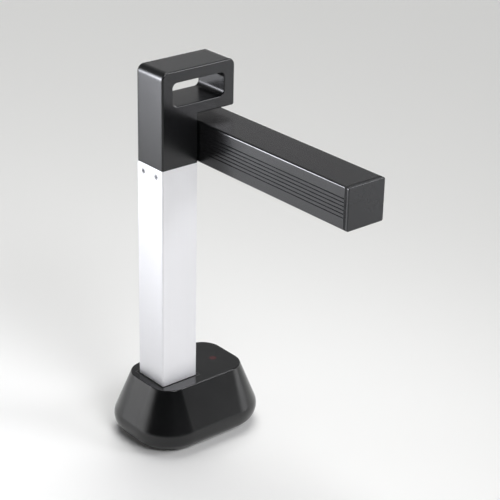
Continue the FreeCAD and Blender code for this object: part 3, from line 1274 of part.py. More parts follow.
def window_parts():
    ring = fused(arm_disc("window_ring_width", "arm_cover", "-arm_half"),
                 arm_disc("window_flange_width", "window_flange", "arm_floor"))
    seat = arm_disc("window_width + 2 * thread_gap", "window_sink + window_glass", "-arm_half")
    bore = arm_disc("window_width - 2 * window_ledge", "arm_cover + window_flange", "-arm_half")
    finish(taken(ring, seat, bore), "window_ring")
    finish(arm_disc("window_width", "window_glass", "-arm_half + window_sink"), "window_glass")


def light_parts():
    body = arm_body("light_diffuser")
    sketch = new_sketch(body, "XY_Plane", "-arm_half")
    centred(sketch, "face", "light_width", "light_length", "light_ledge", "arm_middle", "-light_place")
    pad(body, sketch, "arm_cover + light_rim")
    sketch = new_sketch(body, "XY_Plane", "arm_floor")
    centred(sketch, "rim", "light_width + 2 * light_ledge", "light_length + 2 * light_ledge",
            "light_ledge", "arm_middle", "-light_place")
    pad(body, sketch, "light_rim")
    board("light_board", light_ends, "arm_middle", "-light_place", "light_board_level", "light_width",
          "2 * light_reach", "light_board_sheet")
    chips = []
    for i in range(int(value("light_count"))):
        y = "-light_place + light_length / light_count * (%d - (light_count - 1) / 2)" % i
        chips.append(arm_cuboid("arm_middle", y, "light_board_level - light_chip_height", "light_chip",
                                "light_chip", "light_chip_height"))
    group("light_chips", chips)


def arm_electronics():
    board("arm_board", board_spots, "arm_middle", "-arm_board_place", "arm_board_level",
          "arm_board_width", "arm_board_length", "board_sheet")
    root_end = "-arm_board_place + arm_board_length / 2"
    tip_end = "-arm_board_place - arm_board_length / 2"
    processor = arm_cuboid("arm_middle", "-arm_board_place - processor_side",
                           "arm_board_level - chip_height", "processor_side", "processor_side",
                           "chip_height")
    memory = arm_cuboid("arm_middle", "-arm_board_place + memory_side", "arm_board_level - chip_height",
                        "memory_side", "memory_side", "chip_height")
    plug = arm_cuboid("arm_middle", "%s - arm_plug_side / 2" % root_end, "-cable_width / 2", "plug_span",
                      "arm_plug_side", "(arm_board_level + cable_width / 2)")
    group("arm_board_chips", [processor, memory, plug])
    fixings = []
    for spots, level in ((camera_spots, "camera_board_level"), (board_spots, "arm_board_level")):
        for x, y in spots:
            fixings.append(screw("arm_left + " + x, "column_shift_y + " + y, "pivot_z + " + level,
                                 "-z", "board"))
    for x, y in light_ends:
        fixings.append(screw("arm_left + " + x, "column_shift_y + " + y,
                             "pivot_z + light_board_level + light_board_sheet", "+z", "board"))
    group("arm_board_screws", fixings)
    camera_end = "-lens_place + camera_board_depth / 2"
    camera_top = "camera_board_level + board_sheet"
    board_top = "arm_board_level + board_sheet"
    group("ribbon_sockets", [
        arm_cuboid("arm_middle", camera_end + " - ribbon_socket / 2", camera_top, "ribbon_width",
                   "ribbon_socket", "ribbon_socket_height"),
        arm_cuboid("arm_middle", tip_end + " + ribbon_socket / 2", board_top, "ribbon_width",
                   "ribbon_socket", "ribbon_socket_height")])
    body = arm_body("camera_ribbon")
    sketch = new_sketch(body, "YZ_Plane", "arm_middle - ribbon_width / 2")
    low = camera_top + " + ribbon_socket_height / 2"
    high = board_top + " + ribbon_socket_height / 2"
    polygon(sketch, "strip", [(camera_end, low), (tip_end, high), (tip_end, high + " + ribbon_sheet"),
                              (camera_end, low + " + ribbon_sheet")])
    pad(body, sketch, "ribbon_width")
    finish(cylinder("lead_width", "arm_board_level - light_board_level - light_board_sheet",
                    "arm_left + arm_middle", at_arm("light_lead_place"),
                    "pivot_z + light_board_level + light_board_sheet"), "light_lead")


def cables():
    plug_x = "base_board_left + board_screw_inset + plug_side / 2"
    rise_x = "column_left + cable_rise"
    wire_tube("column_cable", [
        (plug_x, "column_shift_y", "base_board_top + plug_side"), (plug_x, "column_shift_y", "cable_cross"),
        (rise_x, "column_shift_y", "cable_cross"), (rise_x, "column_shift_y", "pivot_z"),
        ("cable_split", "column_shift_y", "pivot_z")],
        ["cable_low_bend", "cable_bend", "cable_bend"], "cable_width")
    middle = "arm_left + arm_middle"
    wire_tube("arm_cable", [
        ("cable_split", "column_shift_y", "pivot_z"), (middle, "column_shift_y", "pivot_z"),
        (middle, at_arm("arm_board_place - arm_board_length / 2"), "pivot_z")],
        ["arm_cable_bend"], "cable_width")


for build in (base_shell, base_plate, base_weight, column_foot, column_tube, base_board,
              sockets_and_chips, touch_parts, head_frame, head_housing, head_back_cover, hinge_parts,
              arm_hinge_plate, arm_housing, arm_bottom_cover, arm_end_cap, camera_parts, window_parts,
              light_parts, arm_electronics, cables):
    build()
doc.recompute()

# Every object has to be sound before anything is written
faults = [thing.Name for thing in doc.Objects if "Invalid" in thing.State or "Error" in thing.State]
faults += [thing.Label for thing in finished if thing.Shape.isNull() or not thing.Shape.isValid()]
if faults:
    raise ValueError("unsound objects: " + ", ".join(faults))
os.makedirs("parts", exist_ok=True)
for thing in finished:
    thing.Shape.exportStep("parts/%s.step" % thing.Label)
print("%d nodes, %d solids" % (len(finished), sum(len(thing.Shape.Solids) for thing in finished)))
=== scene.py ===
import math

import bpy
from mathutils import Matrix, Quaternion, Vector


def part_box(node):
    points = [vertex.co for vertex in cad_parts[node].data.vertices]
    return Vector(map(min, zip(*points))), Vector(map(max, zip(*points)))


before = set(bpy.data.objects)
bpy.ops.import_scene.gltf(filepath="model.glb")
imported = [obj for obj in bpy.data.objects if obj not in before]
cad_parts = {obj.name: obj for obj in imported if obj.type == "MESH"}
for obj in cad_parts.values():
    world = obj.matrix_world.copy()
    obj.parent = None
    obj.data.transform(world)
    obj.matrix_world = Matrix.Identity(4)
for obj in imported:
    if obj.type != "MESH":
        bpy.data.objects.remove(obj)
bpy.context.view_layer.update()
print("frame loaded:", len(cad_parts), "nodes")


def hexToLinear(code):
    shares = [int(code[i:i + 2], 16) / 255 for i in (1, 3, 5)]
    return [s / 12.92 if s <= .04045 else ((s + .055) / 1.055) ** 2.4 for s in shares] + [1]


def addNode(tree, kind, inputs=None, **settings):
    node = tree.nodes.new("ShaderNode" + kind)
    for name, value in settings.items():
        setattr(node, name, value)
    for socket, value in (inputs or {}).items():
        if isinstance(value, bpy.types.NodeSocket):
            tree.links.new(value, node.inputs[socket])
        else:
            node.inputs[socket].default_value = value
    return node


def newMaterial(name):
    made = bpy.data.materials.new(name)
    made.use_nodes = True
    made.node_tree.nodes.clear()
    return made, made.node_tree


def showShader(tree, shader):
    addNode(tree, "OutputMaterial", {"Surface": shader.outputs[0]})


def dress(material, *nodes):
    for name in nodes:
        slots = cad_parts[name].data.materials
        slots.clear()
        slots.append(material)


# the camera stands where the photo was taken from
viewValues = {
    "aim": (.0270315, -.0602687, .1994878),  # the point in the middle of the picture, m
    "turn": -40.3708,  # degrees round the column from its front
    "rise": 24.5880,  # degrees above the desk
    "distance": 1.44273,
    "roll": 1.2952,
    "lens": 113.301, "sensor": 36,  # mm
    "nearest": .05, "farthest": 50,  # m that the lens can see
}


def makeCamera(v):
    turn, rise = math.radians(v["turn"]), math.radians(v["rise"])
    back = Vector((math.sin(turn) * math.cos(rise), -math.cos(turn) * math.cos(rise), math.sin(rise)))
    lens = bpy.data.cameras.new("photoCamera")
    lens.sensor_width = v["sensor"]
    lens.lens = v["lens"]
    lens.clip_start = v["nearest"]
    lens.clip_end = v["farthest"]
    level = (-back).to_track_quat("-Z", "Y")
    camera = bpy.data.objects.new("photoCamera", lens)
    camera.rotation_mode = "QUATERNION"
    camera.rotation_quaternion = level @ Quaternion((0, 0, 1), math.radians(v["roll"]))
    camera.location = Vector(v["aim"]) + back * v["distance"]
    bpy.context.scene.collection.objects.link(camera)
    bpy.context.scene.camera = camera


makeCamera(viewValues)

# a sheet of pale paper, as in a small product studio
floorValues = {
    "size": 14, "colour": "#efefed", "roughness": .85,
    "fibresPerMetre": 300, "fibreHeight": .0002, "fibreStrength": .1,
}


def makeFloor(v):
    half = v["size"] / 2
    mesh = bpy.data.meshes.new("floor")
    corners = [(-half, -half, 0), (half, -half, 0), (half, half, 0), (-half, half, 0)]
    mesh.from_pydata(corners, [], [(0, 1, 2, 3)])
    floor = bpy.data.objects.new("floor", mesh)
    bpy.context.scene.collection.objects.link(floor)
    painted, tree = newMaterial("palePaper")
    place = addNode(tree, "TexCoord").outputs["Object"]
    fibre = addNode(tree, "TexNoise", {"Vector": place, "Scale": v["fibresPerMetre"], "Detail": 3})
    bump = addNode(tree, "Bump", {
        "Height": fibre.outputs[0], "Strength": v["fibreStrength"], "Distance": v["fibreHeight"]})
    showShader(tree, addNode(tree, "BsdfPrincipled", {
        "Base Color": hexToLinear(v["colour"]), "Roughness": v["roughness"], "Normal": bump.outputs[0]}))
    mesh.materials.append(painted)


makeFloor(floorValues)

# The paper curves up into a sweep that glows low down all round, but not on the camera's side. The wall above
# it is dimmer, and a faint glow goes all the way round at the horizon. Heights are sines of the angle above
# the floor.
roomValues = {
    "colour": "#f4f4f5", "strength": .03,
    "farWay": (.545, .839, 0),  # across the table, away from the camera
    "farFrom": -.55, "farTo": -.15,  # how far round the sweep and the wall fade out
    "sweepStrength": 2.0, "sweepTop": .22, "sweepFoot": .04,
    "wallStrength": .39, "wallTop": .85, "wallFoot": .35,
    "horizonStrength": .4, "horizonTop": .13, "horizonFoot": .02,
}


def makeRoom(v):
    world = bpy.data.worlds.new("studio")
    world.use_nodes = True
    tree = world.node_tree
    tree.nodes.clear()
    way = addNode(tree, "TexCoord").outputs["Generated"]
    height = addNode(tree, "SeparateXYZ", {"Vector": way}).outputs["Z"]
    facing = addNode(tree, "VectorMath", {0: way, 1: v["farWay"]}, operation="DOT_PRODUCT").outputs["Value"]
    low = addNode(tree, "MapRange", {
        "Value": height, "From Min": v["sweepTop"], "From Max": v["sweepFoot"],
        "To Max": v["sweepStrength"]}, interpolation_type="SMOOTHSTEP")
    high = addNode(tree, "MapRange", {
        "Value": height, "From Min": v["wallTop"], "From Max": v["wallFoot"],
        "To Max": v["wallStrength"]}, interpolation_type="SMOOTHSTEP")
    both = addNode(tree, "Math", {0: low.outputs[0], 1: high.outputs[0]}, operation="ADD")
    glow = addNode(tree, "MapRange", {
        "Value": height, "From Min": v["horizonTop"], "From Max": v["horizonFoot"],
        "To Min": v["strength"], "To Max": v["strength"] + v["horizonStrength"]},
        interpolation_type="SMOOTHSTEP")
    far = addNode(tree, "MapRange", {
        "Value": facing, "From Min": v["farFrom"], "From Max": v["farTo"]},
        interpolation_type="SMOOTHSTEP")
    lit = addNode(tree, "Math", {0: both.outputs[0], 1: far.outputs[0], 2: glow.outputs[0]},
                  operation="MULTIPLY_ADD")
    room = addNode(tree, "Background", {"Color": hexToLinear(v["colour"]), "Strength": lit.outputs[0]})
    addNode(tree, "OutputWorld", {"Surface": room.outputs[0]})
    bpy.context.scene.world = world


makeRoom(roomValues)

lightValues = {
    # a diffused ceiling lights the whole floor evenly
    "ceilingWay": (.25, .3, .92), "ceilingStrength": 1.9, "ceilingAngle": 40,
    # soft boxes, most of them a bit cold: name, place, aim, width, height, watts, grid angle, colour
    "boxes": (
        ("leftPoolBox", (-.73, .91, 1.3), (-.73, .91, 0), .4, .4, 1.5, 38, "#f3f5ff"),
        ("armPoolBox", (-.62, .24, 1.2), (-.62, .24, 0), .5, .5, 1.35, 44, "#f3f5ff"),
        ("rightPoolBox", (.79, -.98, 1.3), (.79, -.98, 0), .5, .5, 1.75, 48, "#f3f4ff"),
        ("armStripBox", (-.43, .29, .35), (.21, -.48, .35), .19, .36, .38, 42, "#f5f7ff"),
        ("headStripBox", (-.456, .52, .4), (.184, -.25, .4), .09, .5, .08, 60, "#f3f5ff"),
        ("rightStripBox", (.62, -.74, .73), (-.02, -.05, .25), .4, .3, .55, 60, "#fafaff"),
        ("keyBox", (-.15, -1.6, 1.5), (0, 0, .25), 1.0, .8, 2.0, 50, "#fdfdff"),
    ),
}


def hangLight(light, place, back):
    hung = bpy.data.objects.new(light.name, light)
    hung.location = place
    hung.rotation_mode = "QUATERNION"
    hung.rotation_quaternion = back.to_track_quat("Z", "Y")
    bpy.context.scene.collection.objects.link(hung)


def makeLights(v):
    ceiling = bpy.data.lights.new("ceiling", "SUN")
    ceiling.energy = v["ceilingStrength"]
    ceiling.angle = math.radians(v["ceilingAngle"])
    overhead = Vector(v["ceilingWay"])
    hangLight(ceiling, 2 * overhead, overhead)

    for name, place, aim, width, height, watts, grid, colour in v["boxes"]:
        light = bpy.data.lights.new(name, "AREA")
        light.shape = "RECTANGLE"
        light.size = width
        light.size_y = height
        light.energy = watts
        light.color = hexToLinear(colour)[:3]
        light.spread = math.radians(grid)
        hangLight(light, place, Vector(place) - Vector(aim))
    bpy.context.scene.view_settings.view_transform = "Standard"


makeLights(lightValues)
print("camera and studio made")


# In every material here a noise's values lie mostly between these two, and the gloss drifts with them.
usualNoise = {"low": .3, "high": .7}


def driftingGloss(tree, noise, v):
    return addNode(tree, "MapRange", {
        "Value": noise.outputs[0], "From Min": usualNoise["low"], "From Max": usualNoise["high"],
        "To Min": v["roughness"] - v["glossDrift"], "To Max": v["roughness"] + v["glossDrift"]})


# Injection moulded ABS from a spark-eroded or polished mould. The eroded grain breaks up the highlight, so
# the black looks satin and dry, and a broad drift in the gloss shows where the melt cooled at another speed.
# Hands rub the grain flat on the edges: edgeSeen and edgeFull say how far the bevelled normal leans there.
mouldValues = {"pitShare": .6, "edgeSeen": .995, "edgeFull": .93, "edgePolish": .7}


def mouldedAbs(name, v):
    made, tree = newMaterial(name)
    place = addNode(tree, "TexCoord").outputs["Object"]
    grain = addNode(tree, "TexNoise", {
        "Vector": place, "Scale": 1 / v["grainWidth"], "Detail": 2, "Roughness": .6})
    pits = addNode(tree, "TexVoronoi", {
        "Vector": place, "Scale": mouldValues["pitShare"] / v["grainWidth"], "Randomness": 1})
    relief = addNode(tree, "Math", {0: grain.outputs[0], 1: pits.outputs["Distance"]}, operation="ADD")
    bump = addNode(tree, "Bump", {
        "Height": relief.outputs[0], "Strength": v["grainStrength"], "Distance": v["grainDepth"]})
    cloud = addNode(tree, "TexNoise", {"Vector": place, "Scale": 1 / v["driftWidth"], "Detail": 3})
    softened = addNode(tree, "Bevel", {"Radius": v["edgeWidth"]}, samples=4)
    flat = addNode(tree, "NewGeometry")
    sameWay = addNode(tree, "VectorMath", {
        0: softened.outputs[0], 1: flat.outputs["Normal"]}, operation="DOT_PRODUCT")
    edge = addNode(tree, "MapRange", {
        "Value": sameWay.outputs["Value"], "From Min": mouldValues["edgeSeen"],
        "From Max": mouldValues["edgeFull"]})
    gloss = driftingGloss(tree, cloud, v)
    rubbed = addNode(tree, "Mix", {
        0: edge.outputs[0], 2: gloss.outputs[0], 3: v["roughness"] * mouldValues["edgePolish"]},
        data_type="FLOAT")
    tone = addNode(tree, "Mix", {
        0: cloud.outputs[0], 6: hexToLinear(v["colour"]), 7: hexToLinear(v["paleColour"])},
        data_type="RGBA")
    worn = addNode(tree, "Mix", {
        0: edge.outputs[0], 6: tone.outputs[2], 7: hexToLinear(v["edgeColour"])}, data_type="RGBA")
    skin = {"Base Color": worn.outputs[2], "Roughness": rubbed.outputs[0], "IOR": v["ior"],
            "Specular IOR Level": v["specular"], "Normal": bump.outputs[0]}
    # where another part meets this one: a matt rim, with the gap's shadow painted in as dark colour
    if "rimAndGapShade" in v:
        skin["Base Color"], skin["Roughness"] = mattRimAndPaintedGapShade(tree, place, v["rimAndGapShade"], worn, rubbed)
    showShader(tree, addNode(tree, "BsdfPrincipled", skin))
    return made


# Where the mould's steel shuts off round a hole or at an open end it leaves a narrow matt line, and beside it
# the shadow in the gap between the two parts is painted into the colour as a dark band, so the joint is drawn
# as one fine dark line of painted shade. It is full over the inner part of its width and fades out over the
# rest.
def mattRimAndPaintedGapShade(tree, place, v, colour, roughness):
    low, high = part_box(v["node"])
    middle = [(a + b) / 2 for a, b in zip(low, high)]
    half = [(b - a) / 2 for a, b in zip(low, high)]
    apart = addNode(tree, "VectorMath", {0: place, 1: middle}, operation="SUBTRACT")
    side = addNode(tree, "VectorMath", {0: apart.outputs["Vector"]}, operation="ABSOLUTE")
    past = addNode(tree, "VectorMath", {0: side.outputs["Vector"], 1: half}, operation="SUBTRACT")
    parts = addNode(tree, "SeparateXYZ", {"Vector": past.outputs["Vector"]})
    reach = addNode(tree, "Math", {0: parts.outputs["X"], 1: parts.outputs["Y"]}, operation="MAXIMUM")
    rimAndShadeMask = addNode(tree, "MapRange", {
        "Value": reach.outputs[0], "From Min": v["width"],
        "From Max": v["width"] * v["fullShare"]}).outputs[0]
    # painted shade: near the joint the colour darkens to the gap's shadow colour
    shade = addNode(tree, "Mix", {
        0: rimAndShadeMask, 6: colour.outputs[2], 7: hexToLinear(v["colour"])}, data_type="RGBA")
    dull = addNode(tree, "Mix", {0: rimAndShadeMask, 2: roughness.outputs[0], 3: v["roughness"]}, data_type="FLOAT")
    return shade.outputs[2], dull.outputs[0]


headValues = {
    "colour": "#090a0b", "paleColour": "#0c0d0f", "edgeColour": "#16171a",
    "roughness": .25, "glossDrift": .02, "ior": 1.54, "specular": .5,
    "grainWidth": .0006,  # the real grain is 0.3 mm, too fine to show, so it is drawn twice as coarse
    "grainDepth": .00003, "grainStrength": .06,
    "driftWidth": .05, "edgeWidth": .0008,
}
dress(mouldedAbs("headSatinAbs", headValues), "head_housing", "head_back_cover")

armValues = {
    "colour": "#0a0b0c", "paleColour": "#0d0e10", "edgeColour": "#17181b",
    "roughness": .25, "glossDrift": .02, "ior": 1.54, "specular": .5,
    "grainWidth": .0006, "grainDepth": .00003, "grainStrength": .04,
    "driftWidth": .06, "edgeWidth": .0008,
    # matt rim at the end cap, with a painted shadow of the gap in its colour
    "rimAndGapShade": {"node": "arm_end_cap", "width": .0013, "fullShare": .6,
                "colour": "#040405", "roughness": .9},
}
dress(mouldedAbs("armSatinAbs", armValues), "arm_housing", "arm_bottom_cover")

capValues = {
    "colour": "#131416", "paleColour": "#17181a", "edgeColour": "#242528",
    "roughness": .28, "glossDrift": .02, "ior": 1.54, "specular": .5,
    "grainWidth": .0006, "grainDepth": .00003, "grainStrength": .05,
    "driftWidth": .04, "edgeWidth": .0008,
}
dress(mouldedAbs("capSatinAbs", capValues), "arm_end_cap")

# the base comes from a polished mould: almost a mirror, with the faint waviness of a thick wall that shrank
baseValues = {
    "colour": "#0a0b0c", "paleColour": "#0d0e0f", "edgeColour": "#151618",
    "roughness": .2, "glossDrift": .03, "ior": 1.54, "specular": .5,
    "grainWidth": .007, "grainDepth": .00002, "grainStrength": .3,
    "driftWidth": .03, "edgeWidth": .0006,
    # matt rim round the column, with a painted shadow of the gap in its colour
    "rimAndGapShade": {"node": "column_tube", "width": .003, "fullShare": .6,
                "colour": "#030304", "roughness": .9},
}
dress(mouldedAbs("baseGlossAbs", baseValues), "base_shell", "base_plate")
print("plastics made")


# Extruded aluminium, etched and clear anodised. The die leaves fine lines along the length, and the etch
# makes them silky, so each side is one even pale silver that streaks a little from top to bottom.
def anodisedExtrusion(name, v):
    made, tree = newMaterial(name)
    place = addNode(tree, "TexCoord").outputs["Object"]
    stretch = addNode(tree, "Mapping", {
        "Vector": place, "Scale": (1 / v["lineWidth"], 1 / v["lineWidth"], 1 / v["lineLength"])})
    lines = addNode(tree, "TexNoise", {
        "Vector": stretch.outputs[0], "Scale": 1, "Detail": 3, "Roughness": .65})
    etch = addNode(tree, "TexNoise", {"Vector": place, "Scale": 1 / v["etchWidth"], "Detail": 1})
    relief = addNode(tree, "Mix", {
        0: v["etchShare"], 2: lines.outputs[0], 3: etch.outputs[0]}, data_type="FLOAT")
    bump = addNode(tree, "Bump", {
        "Height": relief.outputs[0], "Strength": v["lineStrength"], "Distance": v["lineDepth"]})
    gloss = driftingGloss(tree, lines, v)
    tone = addNode(tree, "Mix", {
        0: lines.outputs[0], 6: hexToLinear(v["colour"]), 7: hexToLinear(v["lineColour"])}, data_type="RGBA")
    showShader(tree, addNode(tree, "BsdfPrincipled", {
        "Base Color": tone.outputs[2], "Metallic": v["metallic"], "Roughness": gloss.outputs[0],
        "Normal": bump.outputs[0]}))
    return made


columnValues = {
    "colour": "#e9e9ec", "lineColour": "#eeeef0",
    "metallic": .4,  # the etched oxide scatters about half of the light before it meets the metal
    "roughness": .42, "glossDrift": .03,
    "lineWidth": .0012,  # die lines are 0.1 to 0.3 mm apart, drawn coarser so that they show
    "lineLength": .09, "lineDepth": .00002, "lineStrength": .25,
    "etchWidth": .0005, "etchShare": .35,
}
dress(anodisedExtrusion("columnAnodised", columnValues), "column_tube")


# Bare or plated metal in small parts. Turning, stamping, grinding or casting leaves grain of its own size,
# and that grain with a patchy gloss is what tells the parts apart.
def workedMetal(name, v):
    made, tree = newMaterial(name)
    place = addNode(tree, "TexCoord").outputs["Object"]
    stretch = addNode(tree, "Mapping", {"Vector": place, "Scale": [1 / w for w in v["grain"]]})
    grain = addNode(tree, "TexNoise", {
        "Vector": stretch.outputs[0], "Scale": 1, "Detail": 4, "Roughness": .6})
    bump = addNode(tree, "Bump", {
        "Height": grain.outputs[0], "Strength": v["grainStrength"], "Distance": v["grainDepth"]})
    cloud = addNode(tree, "TexNoise", {"Vector": place, "Scale": 1 / v["driftWidth"], "Detail": 4})
    gloss = driftingGloss(tree, cloud, v)
    tone = addNode(tree, "Mix", {
        0: cloud.outputs[0], 6: hexToLinear(v["colour"]), 7: hexToLinear(v["otherColour"])}, data_type="RGBA")
    if "recess" in v:
        # painted shade: the colour darkens in the drive of a screw, where the ambient occlusion finds little
        # open sky
        shelter = addNode(tree, "AmbientOcclusion", {"Distance": v["recess"]}, samples=8)
        paintedRecessShade = addNode(tree, "MapRange", {
            "Value": shelter.outputs["AO"], "From Min": v["recessSeen"], "From Max": v["recessFull"]})
        tone = addNode(tree, "Mix", {
            0: paintedRecessShade.outputs[0], 6: tone.outputs[2], 7: hexToLinear(v["recessColour"])}, data_type="RGBA")
    showShader(tree, addNode(tree, "BsdfPrincipled", {
        "Base Color": tone.outputs[2], "Metallic": v["metallic"], "Roughness": gloss.outputs[0],
        "Normal": bump.outputs[0]}))
    return made


# steel screws, black zinc plated: grey-black with a dull sheen
blackScrewValues = {
    "colour": "#3a3a3d", "otherColour": "#2c2c2f", "metallic": 1, "roughness": .35, "glossDrift": .08,
    "grain": (.0003, .0003, .0003), "grainDepth": .00001, "grainStrength": .3, "driftWidth": .002,
}
dress(workedMetal("blackZincSteel", blackScrewValues), "base_screws", "foot_screws", "column_foot_screws",
      "base_board_screws", "head_cover_screws", "hinge_flange_screws", "hinge_plate_screws",
      "arm_cover_screws", "arm_board_screws")

# steel screws, nickel plated: bright, but darker than the etched column that they sit in
brightScrewValues = {
    "colour": "#a0a0a3", "otherColour": "#929295", "metallic": 1, "roughness": .28, "glossDrift": .06,
    "grain": (.0004, .0004, .0004), "grainDepth": .000008, "grainStrength": .3, "driftWidth": .002,
    # painted shade in the screw drive: how far the occlusion looks, and the shares of open sky where it
    # starts and is full
    "recess": .0022, "recessSeen": .9, "recessFull": .5,  # the share of open sky where the dark sets in
    "recessColour": "#151516",
}
dress(workedMetal("nickelPlatedSteel", brightScrewValues), "column_top_screws")

# die-cast aluminium, tumbled: pale and dull with a soft pebble
castValues = {
    "colour": "#b4b5b8", "otherColour": "#a3a4a8", "metallic": 1, "roughness": .55, "glossDrift": .06,
    "grain": (.0008, .0008, .0008), "grainDepth": .00006, "grainStrength": .5, "driftWidth": .015,
}
dress(workedMetal("tumbledCasting", castValues), "column_foot", "head_frame")

# cast iron weight, dipped in grey primer: dark, rough and sandy
weightValues = {
    "colour": "#4a4a4b", "otherColour": "#57585a", "metallic": .2, "roughness": .75, "glossDrift": .08,
    "grain": (.0012, .0012, .0012), "grainDepth": .00012, "grainStrength": .7, "driftWidth": .02,
}
dress(workedMetal("primedCastIron", weightValues), "base_weight")

# turned brass: warm, with the lathe's rings across it
brassValues = {
    "colour": "#c9a45a", "otherColour": "#b8924a", "metallic": 1, "roughness": .3, "glossDrift": .06,
    "grain": (.0002, .004, .004), "grainDepth": .00001, "grainStrength": .4, "driftWidth": .004,
}
dress(workedMetal("turnedBrass", brassValues), "hinge_bush", "friction_washers", "board_spacers")

# ground spring steel: grey with straight scratches along the plate
springValues = {
    "colour": "#8d8e91", "otherColour": "#7d7e82", "metallic": 1, "roughness": .32, "glossDrift": .07,
    "grain": (.006, .006, .0003), "grainDepth": .00001, "grainStrength": .4, "driftWidth": .008,
}
dress(workedMetal("groundSpringSteel", springValues), "disc_springs", "hinge_nut", "hinge_shaft", "stop_pin",
      "arm_hinge_plate")

# stamped steel shell of the socket, nickel plated: bright, with the drawing lines of the press
socketValues = {
    "colour": "#b9b9ba", "otherColour": "#a6a6a8", "metallic": 1, "roughness": .26, "glossDrift": .06,
    "grain": (.003, .0003, .003), "grainDepth": .00001, "grainStrength": .35, "driftWidth": .004,
}
dress(workedMetal("nickelPlatedShell", socketValues), "usb_socket")

# turned aluminium, bead blasted and black anodised: dark and flat, so that no light strays into the lens
barrelValues = {
    "colour": "#1d1d20", "otherColour": "#242428", "metallic": .8, "roughness": .5, "glossDrift": .05,
    "grain": (.0005, .0005, .0005), "grainDepth": .00003, "grainStrength": .5, "driftWidth": .006,
}
dress(workedMetal("blackAnodised", barrelValues), "lens_barrel", "window_ring")
print("metals made")


# Rubber, PVC and glass-filled nylon: soft or dull, with no clear highlight, and dust caught in the skin.
def dullPolymer(name, v):
    made, tree = newMaterial(name)
    place = addNode(tree, "TexCoord").outputs["Object"]
    cells = addNode(tree, "TexVoronoi", {"Vector": place, "Scale": 1 / v["cellWidth"]})
    bump = addNode(tree, "Bump", {
        "Height": cells.outputs["Distance"], "Strength": v["cellStrength"], "Distance": v["cellDepth"]})
    dust = addNode(tree, "TexNoise", {
        "Vector": place, "Scale": 1 / v["dustWidth"], "Detail": 5, "Roughness": .7})
    tone = addNode(tree, "Mix", {
        0: dust.outputs[0], 6: hexToLinear(v["colour"]), 7: hexToLinear(v["dustColour"])}, data_type="RGBA")
    gloss = driftingGloss(tree, dust, v)
    showShader(tree, addNode(tree, "BsdfPrincipled", {
        "Base Color": tone.outputs[2], "Roughness": gloss.outputs[0], "IOR": v["ior"],
        "Normal": bump.outputs[0]}))
    return made


padValues = {
    "colour": "#141414", "dustColour": "#242424", "roughness": .85, "glossDrift": .05, "ior": 1.52,
    "cellWidth": .0008, "cellDepth": .00008, "cellStrength": .6, "dustWidth": .01,
}
dress(dullPolymer("cutNeoprene", padValues), "rubber_pad")

cableValues = {
    "colour": "#161616", "dustColour": "#1f1f20", "roughness": .5, "glossDrift": .05, "ior": 1.53,
    "cellWidth": .0006, "cellDepth": .00001, "cellStrength": .3, "dustWidth": .006,
}
dress(dullPolymer("softPvc", cableValues), "touch_lead", "column_cable", "arm_cable", "light_lead",
      "camera_ribbon")

nylonValues = {
    "colour": "#101011", "dustColour": "#19191a", "roughness": .6, "glossDrift": .05, "ior": 1.54,
    "cellWidth": .0005, "cellDepth": .00002, "cellStrength": .4, "dustWidth": .004,
}
dress(dullPolymer("glassFilledNylon", nylonValues), "lens_holder", "ribbon_sockets")

chipValues = {
    "colour": "#151516", "dustColour": "#1d1d1e", "roughness": .55, "glossDrift": .05, "ior": 1.55,
    "cellWidth": .0003, "cellDepth": .00001, "cellStrength": .4, "dustWidth": .003,
}
dress(dullPolymer("mouldedEpoxy", chipValues), "base_board_chips", "arm_board_chips")


# Glass-fibre board with a green solder mask. Tracks lie under the mask as paler, slightly raised lines.
def printedBoard(name, v):
    made, tree = newMaterial(name)
    place = addNode(tree, "TexCoord").outputs["Object"]
    tracks = addNode(tree, "TexBrick", {
        "Vector": place, "Scale": 1 / v["trackPitch"], "Mortar Size": v["trackShare"],
        "Brick Width": v["trackLength"], "Row Height": v["trackRow"],
        "Color1": hexToLinear(v["colour"]), "Color2": hexToLinear(v["otherColour"]),
        "Mortar": hexToLinear(v["trackColour"])})
    weave = addNode(tree, "TexWave", {"Vector": place, "Scale": 1 / v["weaveWidth"], "Distortion": 1})
    bump = addNode(tree, "Bump", {
        "Height": tracks.outputs["Fac"], "Strength": v["trackStrength"], "Distance": v["trackHeight"]})
    gloss = addNode(tree, "MapRange", {
        "Value": weave.outputs["Fac"], "To Min": v["roughness"] - v["glossDrift"],
        "To Max": v["roughness"] + v["glossDrift"]})
    showShader(tree, addNode(tree, "BsdfPrincipled", {
        "Base Color": tracks.outputs["Color"], "Roughness": gloss.outputs[0], "IOR": v["ior"],
        "Normal": bump.outputs[0]}))
    return made


boardValues = {
    "colour": "#0f4a2a", "otherColour": "#0c3f24", "trackColour": "#1c6b40",
    "roughness": .3, "glossDrift": .05, "ior": 1.5,
    "trackPitch": .004, "trackShare": .12, "trackLength": 3, "trackRow": .5,  # shares of the pitch
    "trackHeight": .00004, "trackStrength": .4, "weaveWidth": .02,
}
dress(printedBoard("greenBoard", boardValues), "base_board", "touch_board", "camera_board", "arm_board",
      "light_board")


# Clear parts: polished glass, coated glass and tinted polycarbonate. Smears change the gloss a little.
smearValues = {"start": .4, "full": .7, "coatRoughness": .03}


